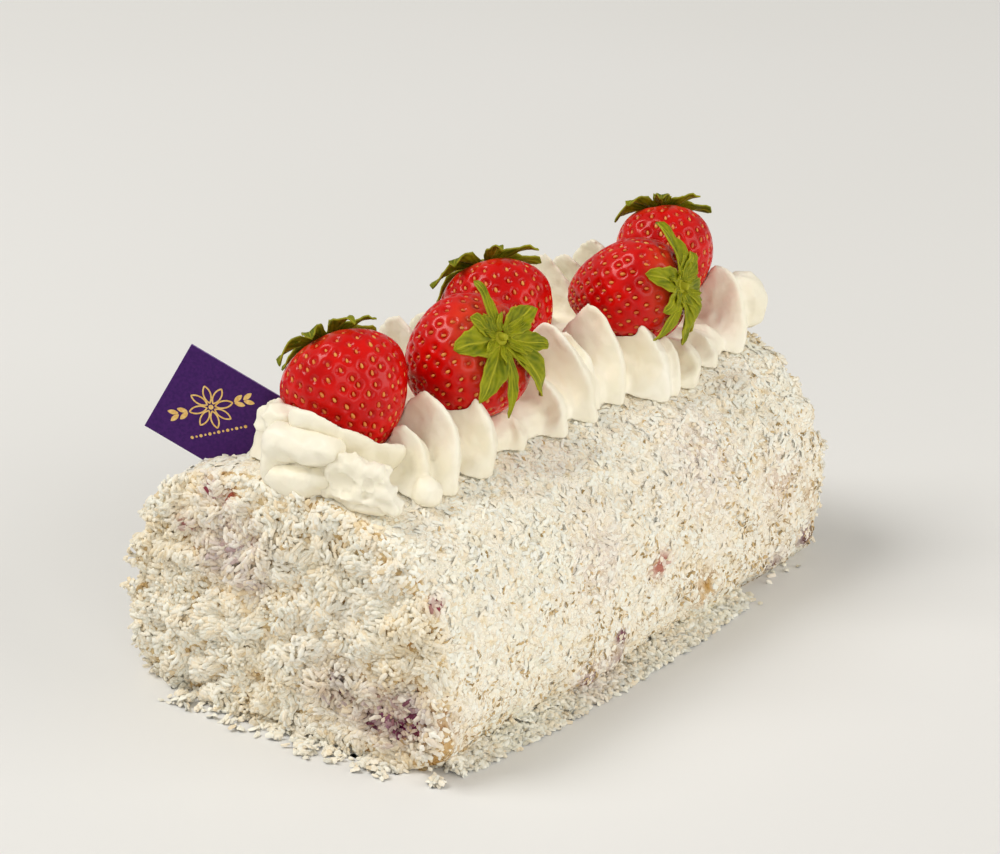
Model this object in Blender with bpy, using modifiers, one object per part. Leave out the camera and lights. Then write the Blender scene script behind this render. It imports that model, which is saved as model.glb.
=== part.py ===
# A swiss roll rolled in shredded coconut, with a piped ruffle of cream, five strawberries and a small card.
#
# The origin is the middle of the flat foot. +X runs along the roll, away from the end that shows in front,
# -Y is its long front side and +Z is up. Each sub-part is one object: the roll with its fused shreds, the
# cream, five berries, their five green calyxes and the card. Lengths are in metres.

import math
import random

import bmesh
import bpy
from mathutils import Matrix, Vector, noise

MM = 0.001

# Roll: its section is a superellipse, rounder above its widest line than below it.
ROLL_LENGTH = 166.5 * MM
ROLL_WIDTH = 100.5 * MM
ROLL_HEIGHT = 63.5 * MM
WIDEST_HEIGHT = 22 * MM
FOOT_SINK = 2 * MM
TOP_POWER = 2.5
FOOT_POWER = 5.0
RIM_POWER = 28.0
END_BULGE = 1.5 * MM
CELLS_ALONG = 35
CELLS_ACROSS = 20
CELLS_ABOVE = 9
CELLS_BELOW = 5

# Relief of the coat: broad lumps, and crags as large as a cluster of shreds.
LUMP_SPACING = 26 * MM
LUMP_DEPTH = 1.6 * MM
CRAG_SPACING = 5.6 * MM
CRAG_DEPTH = 1.9 * MM
END_CRAGS = 1.3
FLAT_LEVEL = 1.3 * MM

# The cream covers this strip of the top, and the coat is smooth under it.
COVER_MIDDLE = -4 * MM
COVER_HALF_WIDTH = 27 * MM
COVER_EDGE = 7 * MM
COVER_LEVEL = 50 * MM

# Fallen shreds bank up along the foot of the long front side.
BANK_START = -78 * MM
BANK_END = 40 * MM
BANK_WIDTH = 8 * MM
BANK_INNER = 38 * MM
BANK_SPACING = 17 * MM

SHRED_COUNT = 52
SHRED_LENGTH = (4.5 * MM, 7.5 * MM)
SHRED_WIDTH = 2.1 * MM
SHRED_THICKNESS = 1.8 * MM
SHRED_TILT = 28
SHRED_SEED = 11

# Cream: a low bed with standing folds along both edges of it.
BED_SIZE = (161 * MM, 44 * MM, 17 * MM)
BED_CENTRE = (2 * MM, -4 * MM, 61 * MM)
FOLD_FOOT_HEIGHT = 60 * MM
FOLD_DROP = 9 * MM
FOLD_SPREAD = 13 * MM
FOLD_SEGMENTS = 12
FOLD_RINGS = 5
FOLD_THINNING = 0.5

# Near folds: foot (x, y), peak (x, y, z) and thickness, in millimetres.
NEAR_FOLDS = (
    (-62, -28, -60, -20, 69, 10),
    (-54, -31, -50, -18, 80.5, 13),
    (-40, -31, -39, -22, 78, 12),
    (-24, -28, -25, -20, 69, 12),
    (-9, -30, -12, -21, 75, 12),
    (4, -30, -4, -19, 85, 12),
    (9, -27, 6, -18, 80, 9),
    (17, -29, 16, -18, 84, 11),
    (30, -34, 26, -22, 79.5, 14),
    (35, -34, 35, -21, 76, 10),
    (43, -34, 44, -23, 69, 13),
    (56, -31, 55, -22, 68, 12),
    (66, -28, 65, -21, 67, 11),
    (76, -31, 79, -17, 78.5, 15),
)

# Rounded folds that hang over the near end: centre (x, y, z) and size (x, y, z), in millimetres.
ROUND_FOLDS = (
    (-76, 0, 67, 15, 17, 13),
    (-79, -4, 66.5, 10, 19, 15),
    (-75.5, -20, 66, 11, 20, 12),
    (-74.5, 4.5, 76, 10, 12, 11),
    (-69, 6, 67, 14, 18, 14),
)

# Far folds follow a rule: even steps along the roll, each with a little freedom.
FAR_START = -42 * MM
FAR_STEP = 12.4 * MM
FAR_COUNT = 10
FAR_FOOT = 27 * MM
FAR_PEAK = 14 * MM
FAR_HEIGHT = 81.5 * MM
FAR_THICKNESS = 12 * MM
FAR_SEED = 5
FAR_SEGMENTS = 10
CORNER_FOLDS = (
    (-71, 19, -70, 11, 78, 11),
    (-54, 19, -53, 11, 72, 10),
)

# The strip of cream laid over the front of the first berry.
STRIP_START = (-78 * MM, -3 * MM, 79 * MM)
STRIP_END = (-61 * MM, -18 * MM, 66 * MM)
STRIP_WIDTH = 8 * MM
STRIP_THICKNESS = 7 * MM
STRIP_BEND = 3.0 * MM

# Berries: centre, direction of the stem, width and length, with lengths in millimetres.
BERRIES = (
    ((-59.8, -3.2, 79.6), (0.22, 0.65, 0.73), 32.0, 30.0),
    ((-27.0, -11.5, 80.0), (-0.11, -0.81, 0.58), 32.0, 34.0),
    ((3.5, 0.2, 80.0), (0.33, 0.60, 0.73), 30.0, 30.0),
    ((36.8, -15.0, 81.5), (0.17, -0.96, 0.24), 28.0, 33.0),
    ((65.9, -7.0, 80.8), (0.48, 0.43, 0.76), 27.0, 29.0),
)
BERRY_TAPER = 0.27
BERRY_SEGMENTS = 18
BERRY_RINGS = 10

# Sepals: direction round the stem in degrees, length and width in millimetres. The two calyxes that face
# the front have theirs as they lie, and the others follow a rule, with widths for the usual length.
FRONT_SEPALS = {
    2: ((84, 14, 3), (22, 12, 6), (-58, 17, 6), (-98, 18, 3), (-132, 15, 6), (177, 12, 7), (134, 8, 5)),
    4: (
        (110, 17, 7),
        (150, 13, 6),
        (-164, 10, 5),
        (-135, 16, 3),
        (-92, 14, 6),
        (-62, 15, 5),
        (-25, 14, 6),
        (40, 9, 5),
    ),
}
SEPAL_COUNT = 8
SEPAL_LENGTHS = {1: (11, 14), 3: (12, 15), 5: (9.5, 12)}
SEPAL_WIDTHS = (4, 6)
SEPAL_USUAL_LENGTH = 14
SEPAL_SEED = 20
HUB_RADIUS = 3.2 * MM
STUB_HEIGHT = 1.6 * MM
SEPAL_LIFT = 0.9 * MM
SEPAL_CURL = 2.4 * MM
SEPAL_WAVE = 0.5 * MM
SEPAL_THICKNESS = 0.6 * MM

# Card: a thin square that stands on one corner, pushed into the roll.
CARD_SIDE = 25 * MM
CARD_THICKNESS = 0.6 * MM
CARD_CENTRE = (-71.8 * MM, 30 * MM, 71 * MM)
CARD_HEADING = -60.3
CARD_TURN = 15

GAP = 0.3 * MM
CUT_GAP = 0.4 * MM

COCONUT = (0.78, 0.70, 0.56)
CREAM = (0.86, 0.78, 0.62)
BERRY_RED = (0.50, 0.015, 0.008)
SEPAL_GREEN = (0.16, 0.20, 0.015)
CARD_PURPLE = (0.036, 0.010, 0.075)


def clear_scene():
    for thing in list(bpy.data.objects):
        bpy.data.objects.remove(thing, do_unlink=True)


def make_collection(name):
    collection = bpy.data.collections.new(name)
    bpy.context.scene.collection.children.link(collection)
    return collection


def make_material(name, colour, roughness):
    material = bpy.data.materials.new(name)
    material.use_nodes = True
    shader = material.node_tree.nodes["Principled BSDF"]
    shader.inputs["Base Color"].default_value = (*colour, 1)
    shader.inputs["Roughness"].default_value = roughness
    shader.inputs["Metallic"].default_value = 0
    return material


def object_from(bm, name, collection, smooth=True):
    """Turns a bmesh into an object of this collection, with its faces pointing out."""
    bmesh.ops.recalc_face_normals(bm, faces=bm.faces[:])
    mesh = bpy.data.meshes.new(name)
    bm.to_mesh(mesh)
    bm.free()
    if smooth:
        mesh.shade_smooth()
    thing = bpy.data.objects.new(name, mesh)
    collection.objects.link(thing)
    return thing


def as_cutter(thing):
    thing.hide_render = True
    thing.display_type = "WIRE"
    return thing


def boolean(thing, operation, collection):
    """Joins a whole collection to an object, or cuts the object by it."""
    modifier = thing.modifiers.new(operation.title(), "BOOLEAN")
    modifier.operation = operation
    modifier.operand_type = "COLLECTION"
    modifier.collection = collection
    modifier.solver = "EXACT"


def apply_modifiers(thing):
    bpy.context.view_layer.update()
    evaluated = thing.evaluated_get(bpy.context.evaluated_depsgraph_get())
    mesh = bpy.data.meshes.new_from_object(evaluated)
    thing.modifiers.clear()
    thing.data = mesh


def remove_collection(collection):
    for thing in list(collection.objects):
        bpy.data.objects.remove(thing, do_unlink=True)
    bpy.data.collections.remove(collection)


def keep_largest_body(thing):
    """Drops loose scraps and the skins of sealed hollows, and keeps the outer body."""
    bm = bmesh.new()
    bm.from_mesh(thing.data)
    left = set(bm.verts)
    bodies = []
    while left:
        body = {left.pop()}
        front = list(body)
        while front:
            vertex = front.pop()
            for edge in vertex.link_edges:
                other = edge.other_vert(vertex)
                if other in left:
                    left.remove(other)
                    body.add(other)
                    front.append(other)
        bodies.append(body)
    bodies.sort(key=len)
    for body in bodies[:-1]:
        bmesh.ops.delete(bm, geom=list(body), context="VERTS")
    bm.to_mesh(thing.data)
    bm.free()


def smooth_step(value):
    value = min(max(value, 0.0), 1.0)
    return value * value * (3 - 2 * value)


# ---- The roll


def roll_surface(cube):
    """The smooth log under a point on the surface of a cube that reaches from -1 to 1."""
    power = TOP_POWER if cube.z > 0 else FOOT_POWER
    square = max(abs(cube.y), abs(cube.z))
    ring = (abs(cube.y) ** power + abs(cube.z) ** power) ** (1 / power)
    rim = (abs(cube.x) ** RIM_POWER + square ** RIM_POWER) ** (-1 / RIM_POWER)
    inward = rim * square / ring if ring else 0
    height = ROLL_HEIGHT - WIDEST_HEIGHT if cube.z > 0 else WIDEST_HEIGHT + FOOT_SINK
    bulge = END_BULGE * (1 - square * square) * cube.x
    return Vector((
        cube.x * rim * ROLL_LENGTH / 2 + bulge,
        cube.y * inward * ROLL_WIDTH / 2,
        WIDEST_HEIGHT + cube.z * inward * height,
    ))


def roll_normal(cube):
    """The outward direction of the log there, from two short steps along the cube's face."""
    face = max(range(3), key=lambda axis: abs(cube[axis]))
    steps = []
    for axis in range(3):
        if axis != face:
            away = Vector((0, 0, 0))
            away[axis] = 0.02 if cube[axis] < 0 else -0.02
            steps.append(roll_surface(cube + away) - roll_surface(cube))
    normal = steps[0].cross(steps[1]).normalized()
    outward = roll_surface(cube) - Vector((0, 0, WIDEST_HEIGHT))
    outward.x *= 0.3
    return normal if normal.dot(outward) > 0 else -normal


def bare_share(point):
    """How much of the coat's relief shows: none under the cream, all of it elsewhere."""
    if point.z < COVER_LEVEL:
        return 1.0
    beyond = abs(point.y - COVER_MIDDLE) - COVER_HALF_WIDTH
    return smooth_step(beyond / COVER_EDGE)


def coat_point(cube, grow=0.0):
    """A point of the coat: the log with its lumps, crags, flat foot and bank of fallen shreds."""
    base = roll_surface(cube)
    normal = roll_normal(cube)
    lumps = LUMP_DEPTH * noise.noise(base / LUMP_SPACING)
    crags = CRAG_DEPTH * noise.noise(base / CRAG_SPACING + Vector((3.3, 7.1, 1.7)))
    if abs(normal.x) > 0.7:
        crags *= END_CRAGS
    point = base + normal * ((lumps + crags) * bare_share(base) + grow)
    if base.z < FLAT_LEVEL:
        along = (point.x - BANK_START) / (BANK_END - BANK_START)
        if 0 < along < 1 and point.y < -BANK_INNER:
            uneven = 0.75 + 0.5 * noise.noise(Vector((point.x / BANK_SPACING, 0.5, 0.5)))
            point.y -= BANK_WIDTH * uneven * math.sin(math.pi * along) ** 0.4
        point.z = 0
    point.z = max(point.z, 0)
    return point


def grid_cube():
    """A cube from -1 to 1 with its faces cut into cells, denser where the roll is round."""
    bm = bmesh.new()
    bmesh.ops.create_cube(bm, size=2)
    cuts = [(0, 2 * i / CELLS_ALONG - 1) for i in range(1, CELLS_ALONG)]
    cuts += [(1, 2 * i / CELLS_ACROSS - 1) for i in range(1, CELLS_ACROSS)]
    cuts += [(2, i / CELLS_ABOVE) for i in range(CELLS_ABOVE)]
    cuts += [(2, -i / CELLS_BELOW) for i in range(1, CELLS_BELOW)]
    for axis, place in cuts:
        normal = Vector((0, 0, 0))
        normal[axis] = 1
        everything = bm.verts[:] + bm.edges[:] + bm.faces[:]
        bmesh.ops.bisect_plane(bm, geom=everything, plane_co=normal * place, plane_no=normal)
    return bm


def make_coat(name, collection, grow=0.0):
    bm = grid_cube()
    places = [coat_point(vertex.co.copy(), grow) for vertex in bm.verts]
    for vertex, place in zip(bm.verts, places):
        vertex.co = place
    bmesh.ops.triangulate(bm, faces=bm.faces[:])
    return object_from(bm, name, collection)


def random_cube_point(draw):
    """A point on the cube's sides, top or ends, with the near end drawn more often."""
    face = draw.choices(("near", "far", "front", "back", "top"), (30, 12, 30, 22, 24))[0]
    first = draw.uniform(-0.94, 0.94)
    second = draw.uniform(-0.94, 0.94)
    upright = draw.uniform(-0.55, 0.9)
    return Vector({
        "near": (-1, first, upright),
        "far": (1, first, upright),
        "front": (second, -1, upright),
        "back": (second, 1, upright),
        "top": (second, first, 1),
    }[face])


def is_clear_for_shred(point):
    """Shreds keep off the strip under the cream and off the card."""
    near_card = math.hypot(point.x - CARD_CENTRE[0], point.y - CARD_CENTRE[1]) < 15 * MM
    if point.z > COVER_LEVEL and (bare_share(point) < 1 or near_card):
        return False
    return abs(point.y - COVER_MIDDLE) > 37 * MM or point.z < COVER_LEVEL - 2 * MM


def spread_points(draw, count, tries=14):
    """Even spreading: of several random points, the one farthest from the rest is kept."""
    chosen = []
    while len(chosen) < count:
        best, best_space = None, -1
        for _ in range(tries):
            cube = random_cube_point(draw)
            point = coat_point(cube)
            if not is_clear_for_shred(point):
                continue
            space = min(((point - other).length for _, other in chosen), default=1)
            if space > best_space:
                best, best_space = (cube, point), space
        if best:
            chosen.append(best)
    return chosen


def make_shred(name, collection, draw, cube, point):
    """One shred: a short bent strip that lies on the coat and lifts at one end."""
    length = draw.uniform(*SHRED_LENGTH)
    bend = draw.uniform(-0.14, 0.14) * length
    bm = bmesh.new()
    bmesh.ops.create_cube(bm, size=1)
    bmesh.ops.bisect_plane(
        bm,
        geom=bm.verts[:] + bm.edges[:] + bm.faces[:],
        plane_co=(0, 0, 0),
        plane_no=(1, 0, 0),
    )
    for vertex in bm.verts:
        taper = 1 - 0.8 * abs(vertex.co.x)
        sideways = bend * (1 - 4 * vertex.co.x ** 2)
        vertex.co = Vector((
            vertex.co.x * length,
            vertex.co.y * SHRED_WIDTH * taper + sideways,
            vertex.co.z * SHRED_THICKNESS,
        ))
    bmesh.ops.triangulate(bm, faces=bm.faces[:])
    normal = roll_normal(cube)
    turn = Matrix.Rotation(draw.uniform(0, math.tau), 4, "Z")
    tilt = Matrix.Rotation(math.radians(draw.uniform(6, SHRED_TILT)), 4, "Y")
    facing = normal.to_track_quat("Z", "X").to_matrix().to_4x4()
    bm.transform(Matrix.Translation(point + normal * 0.5 * MM) @ facing @ turn @ tilt)
    return object_from(bm, name, collection, smooth=False)


def make_roll(parts, cutters):
    draw = random.Random(SHRED_SEED)
    roll = make_coat("roll", parts)
    shreds = make_collection("shreds")
    for number, (cube, point) in enumerate(spread_points(draw, SHRED_COUNT)):
        make_shred(f"shred_{number}", shreds, draw, cube, point)
    boolean(roll, "UNION", shreds)
    apply_modifiers(roll)
    remove_collection(shreds)
    slot = make_card_shape("card_slot", cutters, GAP)
    as_cutter(slot)
    difference = roll.modifiers.new("Slot", "BOOLEAN")
    difference.operation = "DIFFERENCE"
    difference.object = slot
    difference.solver = "EXACT"
    apply_modifiers(roll)
    keep_largest_body(roll)
    roll.data.materials.append(make_material("coconut_coat", COCONUT, 0.85))
    return roll


# ---- Strawberries and their calyxes


def stem_frame(stem):
    """Turns +Z to the stem, with +X level."""
    up = Vector(stem).normalized()
    level = Vector((0, 0, 1)).cross(up).normalized()
    frame = Matrix((level, up.cross(level), up)).transposed()
    return frame.to_4x4()


def berry_radius(polar):
    """How far a berry of unit size reaches, sideways and along its stem, at this angle from the stem."""
    side = math.sin(polar) * (1 + BERRY_TAPER * math.cos(polar)) / (1 + BERRY_TAPER * 0.25)
    along = math.cos(polar) - 0.10 * math.exp(-((polar / 0.35) ** 2))
    return side, along


def berry_point(polar, turn, width, length, out=0.0):
    """A point on a berry whose stem is +Z, or that far outside it."""
    side, along = berry_radius(polar)
    reach = side * width / 2 + out * math.sin(polar)
    height = along * length / 2 + out * math.cos(polar)
    return Vector((reach * math.cos(turn), reach * math.sin(turn), height))


def make_berry_shape(name, collection, berry, grow=0.0):
    centre, stem, width, length = berry
    bm = bmesh.new()
    bmesh.ops.create_uvsphere(bm, u_segments=BERRY_SEGMENTS, v_segments=BERRY_RINGS, radius=1)
    for vertex in bm.verts:
        polar = math.acos(min(max(vertex.co.z, -1), 1))
        turn = math.atan2(vertex.co.y, vertex.co.x)
        vertex.co = berry_point(polar, turn, width * MM, length * MM, grow)
    thing = object_from(bm, name, collection)
    thing.matrix_world = Matrix.Translation(Vector(centre) * MM) @ stem_frame(stem)
    return thing


def sepal_place(berry, turn, distance, sideways, tip_share):
    """A point of a sepal that lies over its berry and curls away from it towards the tip."""
    width, length = berry[2] * MM, berry[3] * MM
    polar = distance / (0.5 * (width + length) / 2)
    lift = SEPAL_LIFT + SEPAL_CURL * tip_share ** 2
    lift += SEPAL_WAVE * math.sin(5 * tip_share + 7 * turn) * tip_share
    lift += abs(sideways) * 0.12
    over = berry_point(polar, turn, width, length, lift)
    across = Vector((-math.sin(turn), math.cos(turn), 0))
    return over + across * sideways


def sepals_of(number):
    """The sepals of one berry, by hand or evenly spread with a little freedom; a short one is narrower."""
    if number in FRONT_SEPALS:
        return FRONT_SEPALS[number]
    draw = random.Random(SEPAL_SEED + number)
    step = 360 / SEPAL_COUNT
    sepals = []
    for place in range(SEPAL_COUNT):
        turn = place * step + draw.uniform(-7, 7)
        length = draw.uniform(*SEPAL_LENGTHS[number])
        width = draw.uniform(*SEPAL_WIDTHS) * length / SEPAL_USUAL_LENGTH
        sepals.append((turn, length, width))
    return sepals


def next_row(row, fresh):
    """The freshly extruded vertex beside each vertex of a row."""
    grown = []
    for vertex in row:
        others = [edge.other_vert(vertex) for edge in vertex.link_edges]
        grown.append(next(other for other in others if other in fresh))
    return grown


def make_calyx(name, collection, berry, sepals, grow=0.0):
    """A hub over the top of the berry, with a strip for each sepal drawn out of the hub's rim."""
    sepals = sorted(
        (math.radians(turn) % math.tau, length * MM + grow, width * MM + 2 * grow)
        for turn, length, width in sepals
    )
    bm = bmesh.new()
    made = bmesh.ops.create_circle(bm, cap_ends=True, cap_tris=True, segments=3 * len(sepals), radius=1)
    rim = [vertex for vertex in made["verts"] if vertex.co.length > 0.5]
    rim.sort(key=lambda vertex: math.atan2(vertex.co.y, vertex.co.x) % math.tau)
    centre = next(vertex for vertex in made["verts"] if vertex.co.length < 0.5)
    centre.co = berry_point(0, 0, berry[2] * MM, berry[3] * MM, SEPAL_LIFT + STUB_HEIGHT)
    for number, (turn, length, width) in enumerate(sepals):
        row = rim[3 * number:3 * number + 3]
        half = width / 2
        for side, vertex in zip((-1, 0, 1), row):
            spread = side * min(half * 0.6, HUB_RADIUS * math.pi / len(sepals) * 0.8)
            vertex.co = sepal_place(berry, turn, HUB_RADIUS, spread, 0)
        for share, fullness in ((0.35, 1.0), (0.72, 0.72), (1.0, 0.0)):
            edges = [bm.edges.get(row[:2]), bm.edges.get(row[1:])]
            grown = bmesh.ops.extrude_edge_only(bm, edges=edges)["geom"]
            fresh = {item for item in grown if isinstance(item, bmesh.types.BMVert)}
            row = next_row(row, fresh)
            distance = HUB_RADIUS + share * (length - HUB_RADIUS)
            for side, vertex in zip((-1, 0, 1), row):
                vertex.co = sepal_place(berry, turn, distance, side * half * fullness, share)
        bmesh.ops.remove_doubles(bm, verts=row, dist=0.05 * MM)
    bmesh.ops.triangulate(bm, faces=bm.faces[:])
    calyx = object_from(bm, name, collection)
    if sum(face.normal.z for face in calyx.data.polygons) < 0:
        calyx.data.flip_normals()
    calyx.matrix_world = Matrix.Translation(Vector(berry[0]) * MM) @ stem_frame(berry[1])
    solidify = calyx.modifiers.new("Leaf thickness", "SOLIDIFY")
    solidify.thickness = SEPAL_THICKNESS + 2 * grow
    solidify.offset = SEPAL_THICKNESS / solidify.thickness
    return calyx


def make_strawberries(parts):
    flesh = make_material("strawberry_flesh", BERRY_RED, 0.32)
    leaf = make_material("calyx_leaf", SEPAL_GREEN, 0.6)
    things = []
    for number, berry in enumerate(BERRIES, 1):
        fruit = make_berry_shape(f"strawberry_{number}", parts, berry)
        fruit.data.materials.append(flesh)
        calyx = make_calyx(f"calyx_{number}", parts, berry, sepals_of(number))
        calyx.data.materials.append(leaf)
        things += [fruit, calyx]
    return things


# ---- Cream


def make_fold(name, collection, fold, segments):
    """One standing fold: a flat lens whose sharp rim rises from its foot over its peak."""
    foot_x, foot_y, peak_x, peak_y, peak_z, thickness = (value * MM for value in fold)
    outward = 1 if foot_y > peak_y else -1
    bm = bmesh.new()
    turn = Matrix.Rotation(math.radians(90), 4, "Y")
    bmesh.ops.create_uvsphere(bm, u_segments=segments, v_segments=FOLD_RINGS, radius=1, matrix=turn)
    for vertex in bm.verts:
        across, out, up = vertex.co.x, vertex.co.y * outward, vertex.co.z
        flat = math.copysign(abs(across) ** 1.25, across)
        reach = abs(foot_y - peak_y) if out > 0 else FOLD_SPREAD
        rise = peak_z - FOLD_FOOT_HEIGHT if up > 0 else FOLD_DROP
        base_x = foot_x - 2 * MM
        x = base_x + flat * thickness / 2 * (1 - FOLD_THINNING * max(up, 0))
        x += (peak_x - base_x) * max(up, 0) + (foot_x - base_x) * max(out, 0)
        vertex.co = Vector((x, peak_y + outward * out * reach, FOLD_FOOT_HEIGHT + up * rise))
    return object_from(bm, name, collection)


def make_round_fold(name, collection, sizes):
    centre, size = Vector(sizes[:3]) * MM, Vector(sizes[3:]) * MM
    bm = bmesh.new()
    bmesh.ops.create_uvsphere(bm, u_segments=12, v_segments=7, radius=0.5)
    bmesh.ops.scale(bm, verts=bm.verts[:], vec=size)
    bmesh.ops.translate(bm, verts=bm.verts[:], vec=centre)
    return object_from(bm, name, collection)


def far_folds():
    draw = random.Random(FAR_SEED)
    folds = []
    for number in range(FAR_COUNT):
        x = FAR_START + number * FAR_STEP + draw.uniform(-1.5, 1.5) * MM
        lean = draw.uniform(2, 6) * MM
        height = FAR_HEIGHT + draw.uniform(-3, 3) * MM
        sizes = (x, FAR_FOOT, x - lean, FAR_PEAK, height, FAR_THICKNESS * draw.uniform(0.85, 1.1))
        folds.append([size / MM for size in sizes])
    return folds


def make_bed(name, collection):
    bm = bmesh.new()
    bmesh.ops.create_uvsphere(bm, u_segments=14, v_segments=9, radius=1)
    bm.transform(Matrix.Rotation(math.radians(90), 4, "Y"))
    for vertex in bm.verts:
        square = Vector(math.copysign(abs(value) ** 0.75, value) for value in vertex.co)
        vertex.co = Vector(BED_CENTRE) + Vector(
            part * size / 2 for part, size in zip(square, BED_SIZE)
        )
    return object_from(bm, name, collection)


def make_strip(name, collection):
    start, end = Vector(STRIP_START), Vector(STRIP_END)
    along = end - start
    berry_centre = Vector(BERRIES[0][0]) * MM
    outward = (start + along / 2 - berry_centre)
    outward = (outward - outward.project(along)).normalized()
    frame = Matrix((along.normalized(), outward.cross(along.normalized()), outward)).transposed()
    bm = bmesh.new()
    turn = Matrix.Rotation(math.radians(90), 4, "Y")
    bmesh.ops.create_uvsphere(bm, u_segments=10, v_segments=8, radius=1, matrix=turn)
    for vertex in bm.verts:
        along_share, side, out = vertex.co
        place = Vector((
            math.copysign(abs(along_share) ** 0.8, along_share) * along.length / 2,
            side * STRIP_WIDTH / 2,
            out * STRIP_THICKNESS / 2 + STRIP_BEND * (1 - along_share ** 2),
        ))
        vertex.co = start + along / 2 + frame @ place
    return object_from(bm, name, collection)


def make_cream(parts, cutters):
    cream = make_bed("cream", parts)
    folds = make_collection("folds")
    for number, fold in enumerate(NEAR_FOLDS):
        make_fold(f"near_fold_{number}", folds, fold, FOLD_SEGMENTS)
    for number, fold in enumerate([*CORNER_FOLDS, *far_folds()]):
        make_fold(f"far_fold_{number}", folds, fold, FAR_SEGMENTS)
    for number, sizes in enumerate(ROUND_FOLDS):
        make_round_fold(f"round_fold_{number}", folds, sizes)
    make_strip("strip", folds)
    boolean(cream, "UNION", folds)
    apply_modifiers(cream)
    remove_collection(folds)
    hollows = bpy.data.collections.new("cream_cutters")
    cutters.children.link(hollows)
    as_cutter(make_coat("roll_space", hollows, CUT_GAP))
    for number, berry in enumerate(BERRIES, 1):
        as_cutter(make_berry_shape(f"berry_space_{number}", hollows, berry, CUT_GAP))
        as_cutter(make_calyx(f"calyx_space_{number}", hollows, berry, sepals_of(number), CUT_GAP))
    boolean(cream, "DIFFERENCE", hollows)
    apply_modifiers(cream)
    keep_largest_body(cream)
    cream.data.materials.append(make_material("whipped_cream", CREAM, 0.45))
    return cream


# ---- Card


def make_card_shape(name, collection, grow=0.0):
    bm = bmesh.new()
    bmesh.ops.create_cube(bm, size=1)
    size = (CARD_SIDE + 2 * grow, CARD_THICKNESS + 2 * grow, CARD_SIDE + 2 * grow)
    bmesh.ops.scale(bm, verts=bm.verts[:], vec=size)
    thing = object_from(bm, name, collection, smooth=False)
    thing.location = CARD_CENTRE
    thing.rotation_mode = "XYZ"
    thing.rotation_euler = (0, math.radians(45 - CARD_TURN), math.radians(CARD_HEADING))
    return thing


def make_card(parts):
    card = make_card_shape("card", parts)
    card.data.materials.append(make_material("printed_card", CARD_PURPLE, 0.35))
    return card


def main():
    clear_scene()
    parts = make_collection("swiss_roll")
    cutters = make_collection("cutters")
    things = make_strawberries(parts)
    things.append(make_cream(parts, cutters))
    things.append(make_roll(parts, cutters))
    things.append(make_card(parts))
    foot = bpy.data.objects.new("swiss_roll_foot", None)
    parts.objects.link(foot)
    for thing in things:
        thing.parent = foot


main()
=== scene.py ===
import math
import random

import bmesh
import bpy
import numpy as np
from mathutils import Matrix, Vector, noise


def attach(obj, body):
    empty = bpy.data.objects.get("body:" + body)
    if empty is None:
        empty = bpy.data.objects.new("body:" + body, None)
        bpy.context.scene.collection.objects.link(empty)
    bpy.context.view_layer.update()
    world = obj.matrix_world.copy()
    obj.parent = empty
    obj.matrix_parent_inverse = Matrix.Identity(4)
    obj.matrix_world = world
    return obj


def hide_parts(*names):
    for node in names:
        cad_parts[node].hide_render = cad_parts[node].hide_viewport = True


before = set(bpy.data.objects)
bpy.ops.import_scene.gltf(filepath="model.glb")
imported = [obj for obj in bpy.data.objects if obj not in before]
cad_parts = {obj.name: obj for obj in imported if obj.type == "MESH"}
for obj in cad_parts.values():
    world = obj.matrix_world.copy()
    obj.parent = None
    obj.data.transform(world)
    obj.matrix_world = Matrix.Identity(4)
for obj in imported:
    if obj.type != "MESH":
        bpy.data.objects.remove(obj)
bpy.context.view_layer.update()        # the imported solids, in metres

mm = 0.001
goldenTurn = math.pi * (3 - math.sqrt(5))  # even spreading round an axis
print("frame loaded,", len(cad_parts), "solids")


def toLinear(hexColour):
    # sRGB hex to the linear values that a shader takes
    parts = [int(hexColour[at:at + 2], 16) / 255 for at in (0, 2, 4)]
    return np.array([part / 12.92 if part <= 0.04045 else ((part + 0.055) / 1.055) ** 2.4 for part in parts])


def rgba(hexColour):
    return (*toLinear(hexColour), 1)


def wire(tree, node, inputs):
    # a node gives its first output in use and a socket itself; anything else is a value
    for name, value in inputs.items():
        if isinstance(value, bpy.types.Node):
            value = next(socket for socket in value.outputs if socket.enabled)
        if isinstance(value, bpy.types.NodeSocket):
            tree.links.new(value, node.inputs[name])
        else:
            node.inputs[name].default_value = value


def addNode(tree, kind, inputs, **settings):
    node = tree.nodes.new("ShaderNode" + kind)
    for name, value in settings.items():
        if name == "stops":  # the places and colours of a ramp
            while len(node.color_ramp.elements) < len(value):
                node.color_ramp.elements.new(0.5)
            for stop, (place, hexColour) in zip(node.color_ramp.elements, value):
                stop.position = place
                stop.color = rgba(hexColour)
        else:
            setattr(node, name, value)
    wire(tree, node, inputs)
    return node


def startMaterial(name, shaderValues):
    material = bpy.data.materials.new(name)
    material.use_nodes = True
    tree = material.node_tree
    shader = tree.nodes["Principled BSDF"]
    wire(tree, shader, shaderValues)
    return material, tree, shader, addNode(tree, "TexCoord", {}).outputs["Object"]


def perMm(size):
    # the scale that gives a pattern of this size in millimetres
    return 1 / (size * mm)


def grainedMaterial(name, shaderValues, size, detail, stops, bump=None):
    # one noise gives the tone and the relief; bump is its strength and its depth in millimetres
    material, tree, shader, place = startMaterial(name, shaderValues)
    grain = addNode(tree, "TexNoise", {"Vector": place, "Scale": perMm(size), "Detail": detail})
    wire(tree, shader, {"Base Color": addNode(tree, "ValToRGB", {"Fac": grain}, stops=stops)})
    if bump:
        relief = {"Height": grain, "Strength": bump[0], "Distance": bump[1] * mm}
        wire(tree, shader, {"Normal": addNode(tree, "Bump", relief)})
    return material


def linked(name, data):
    thing = bpy.data.objects.new(name, data)
    bpy.context.scene.collection.objects.link(thing)
    return thing


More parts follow.
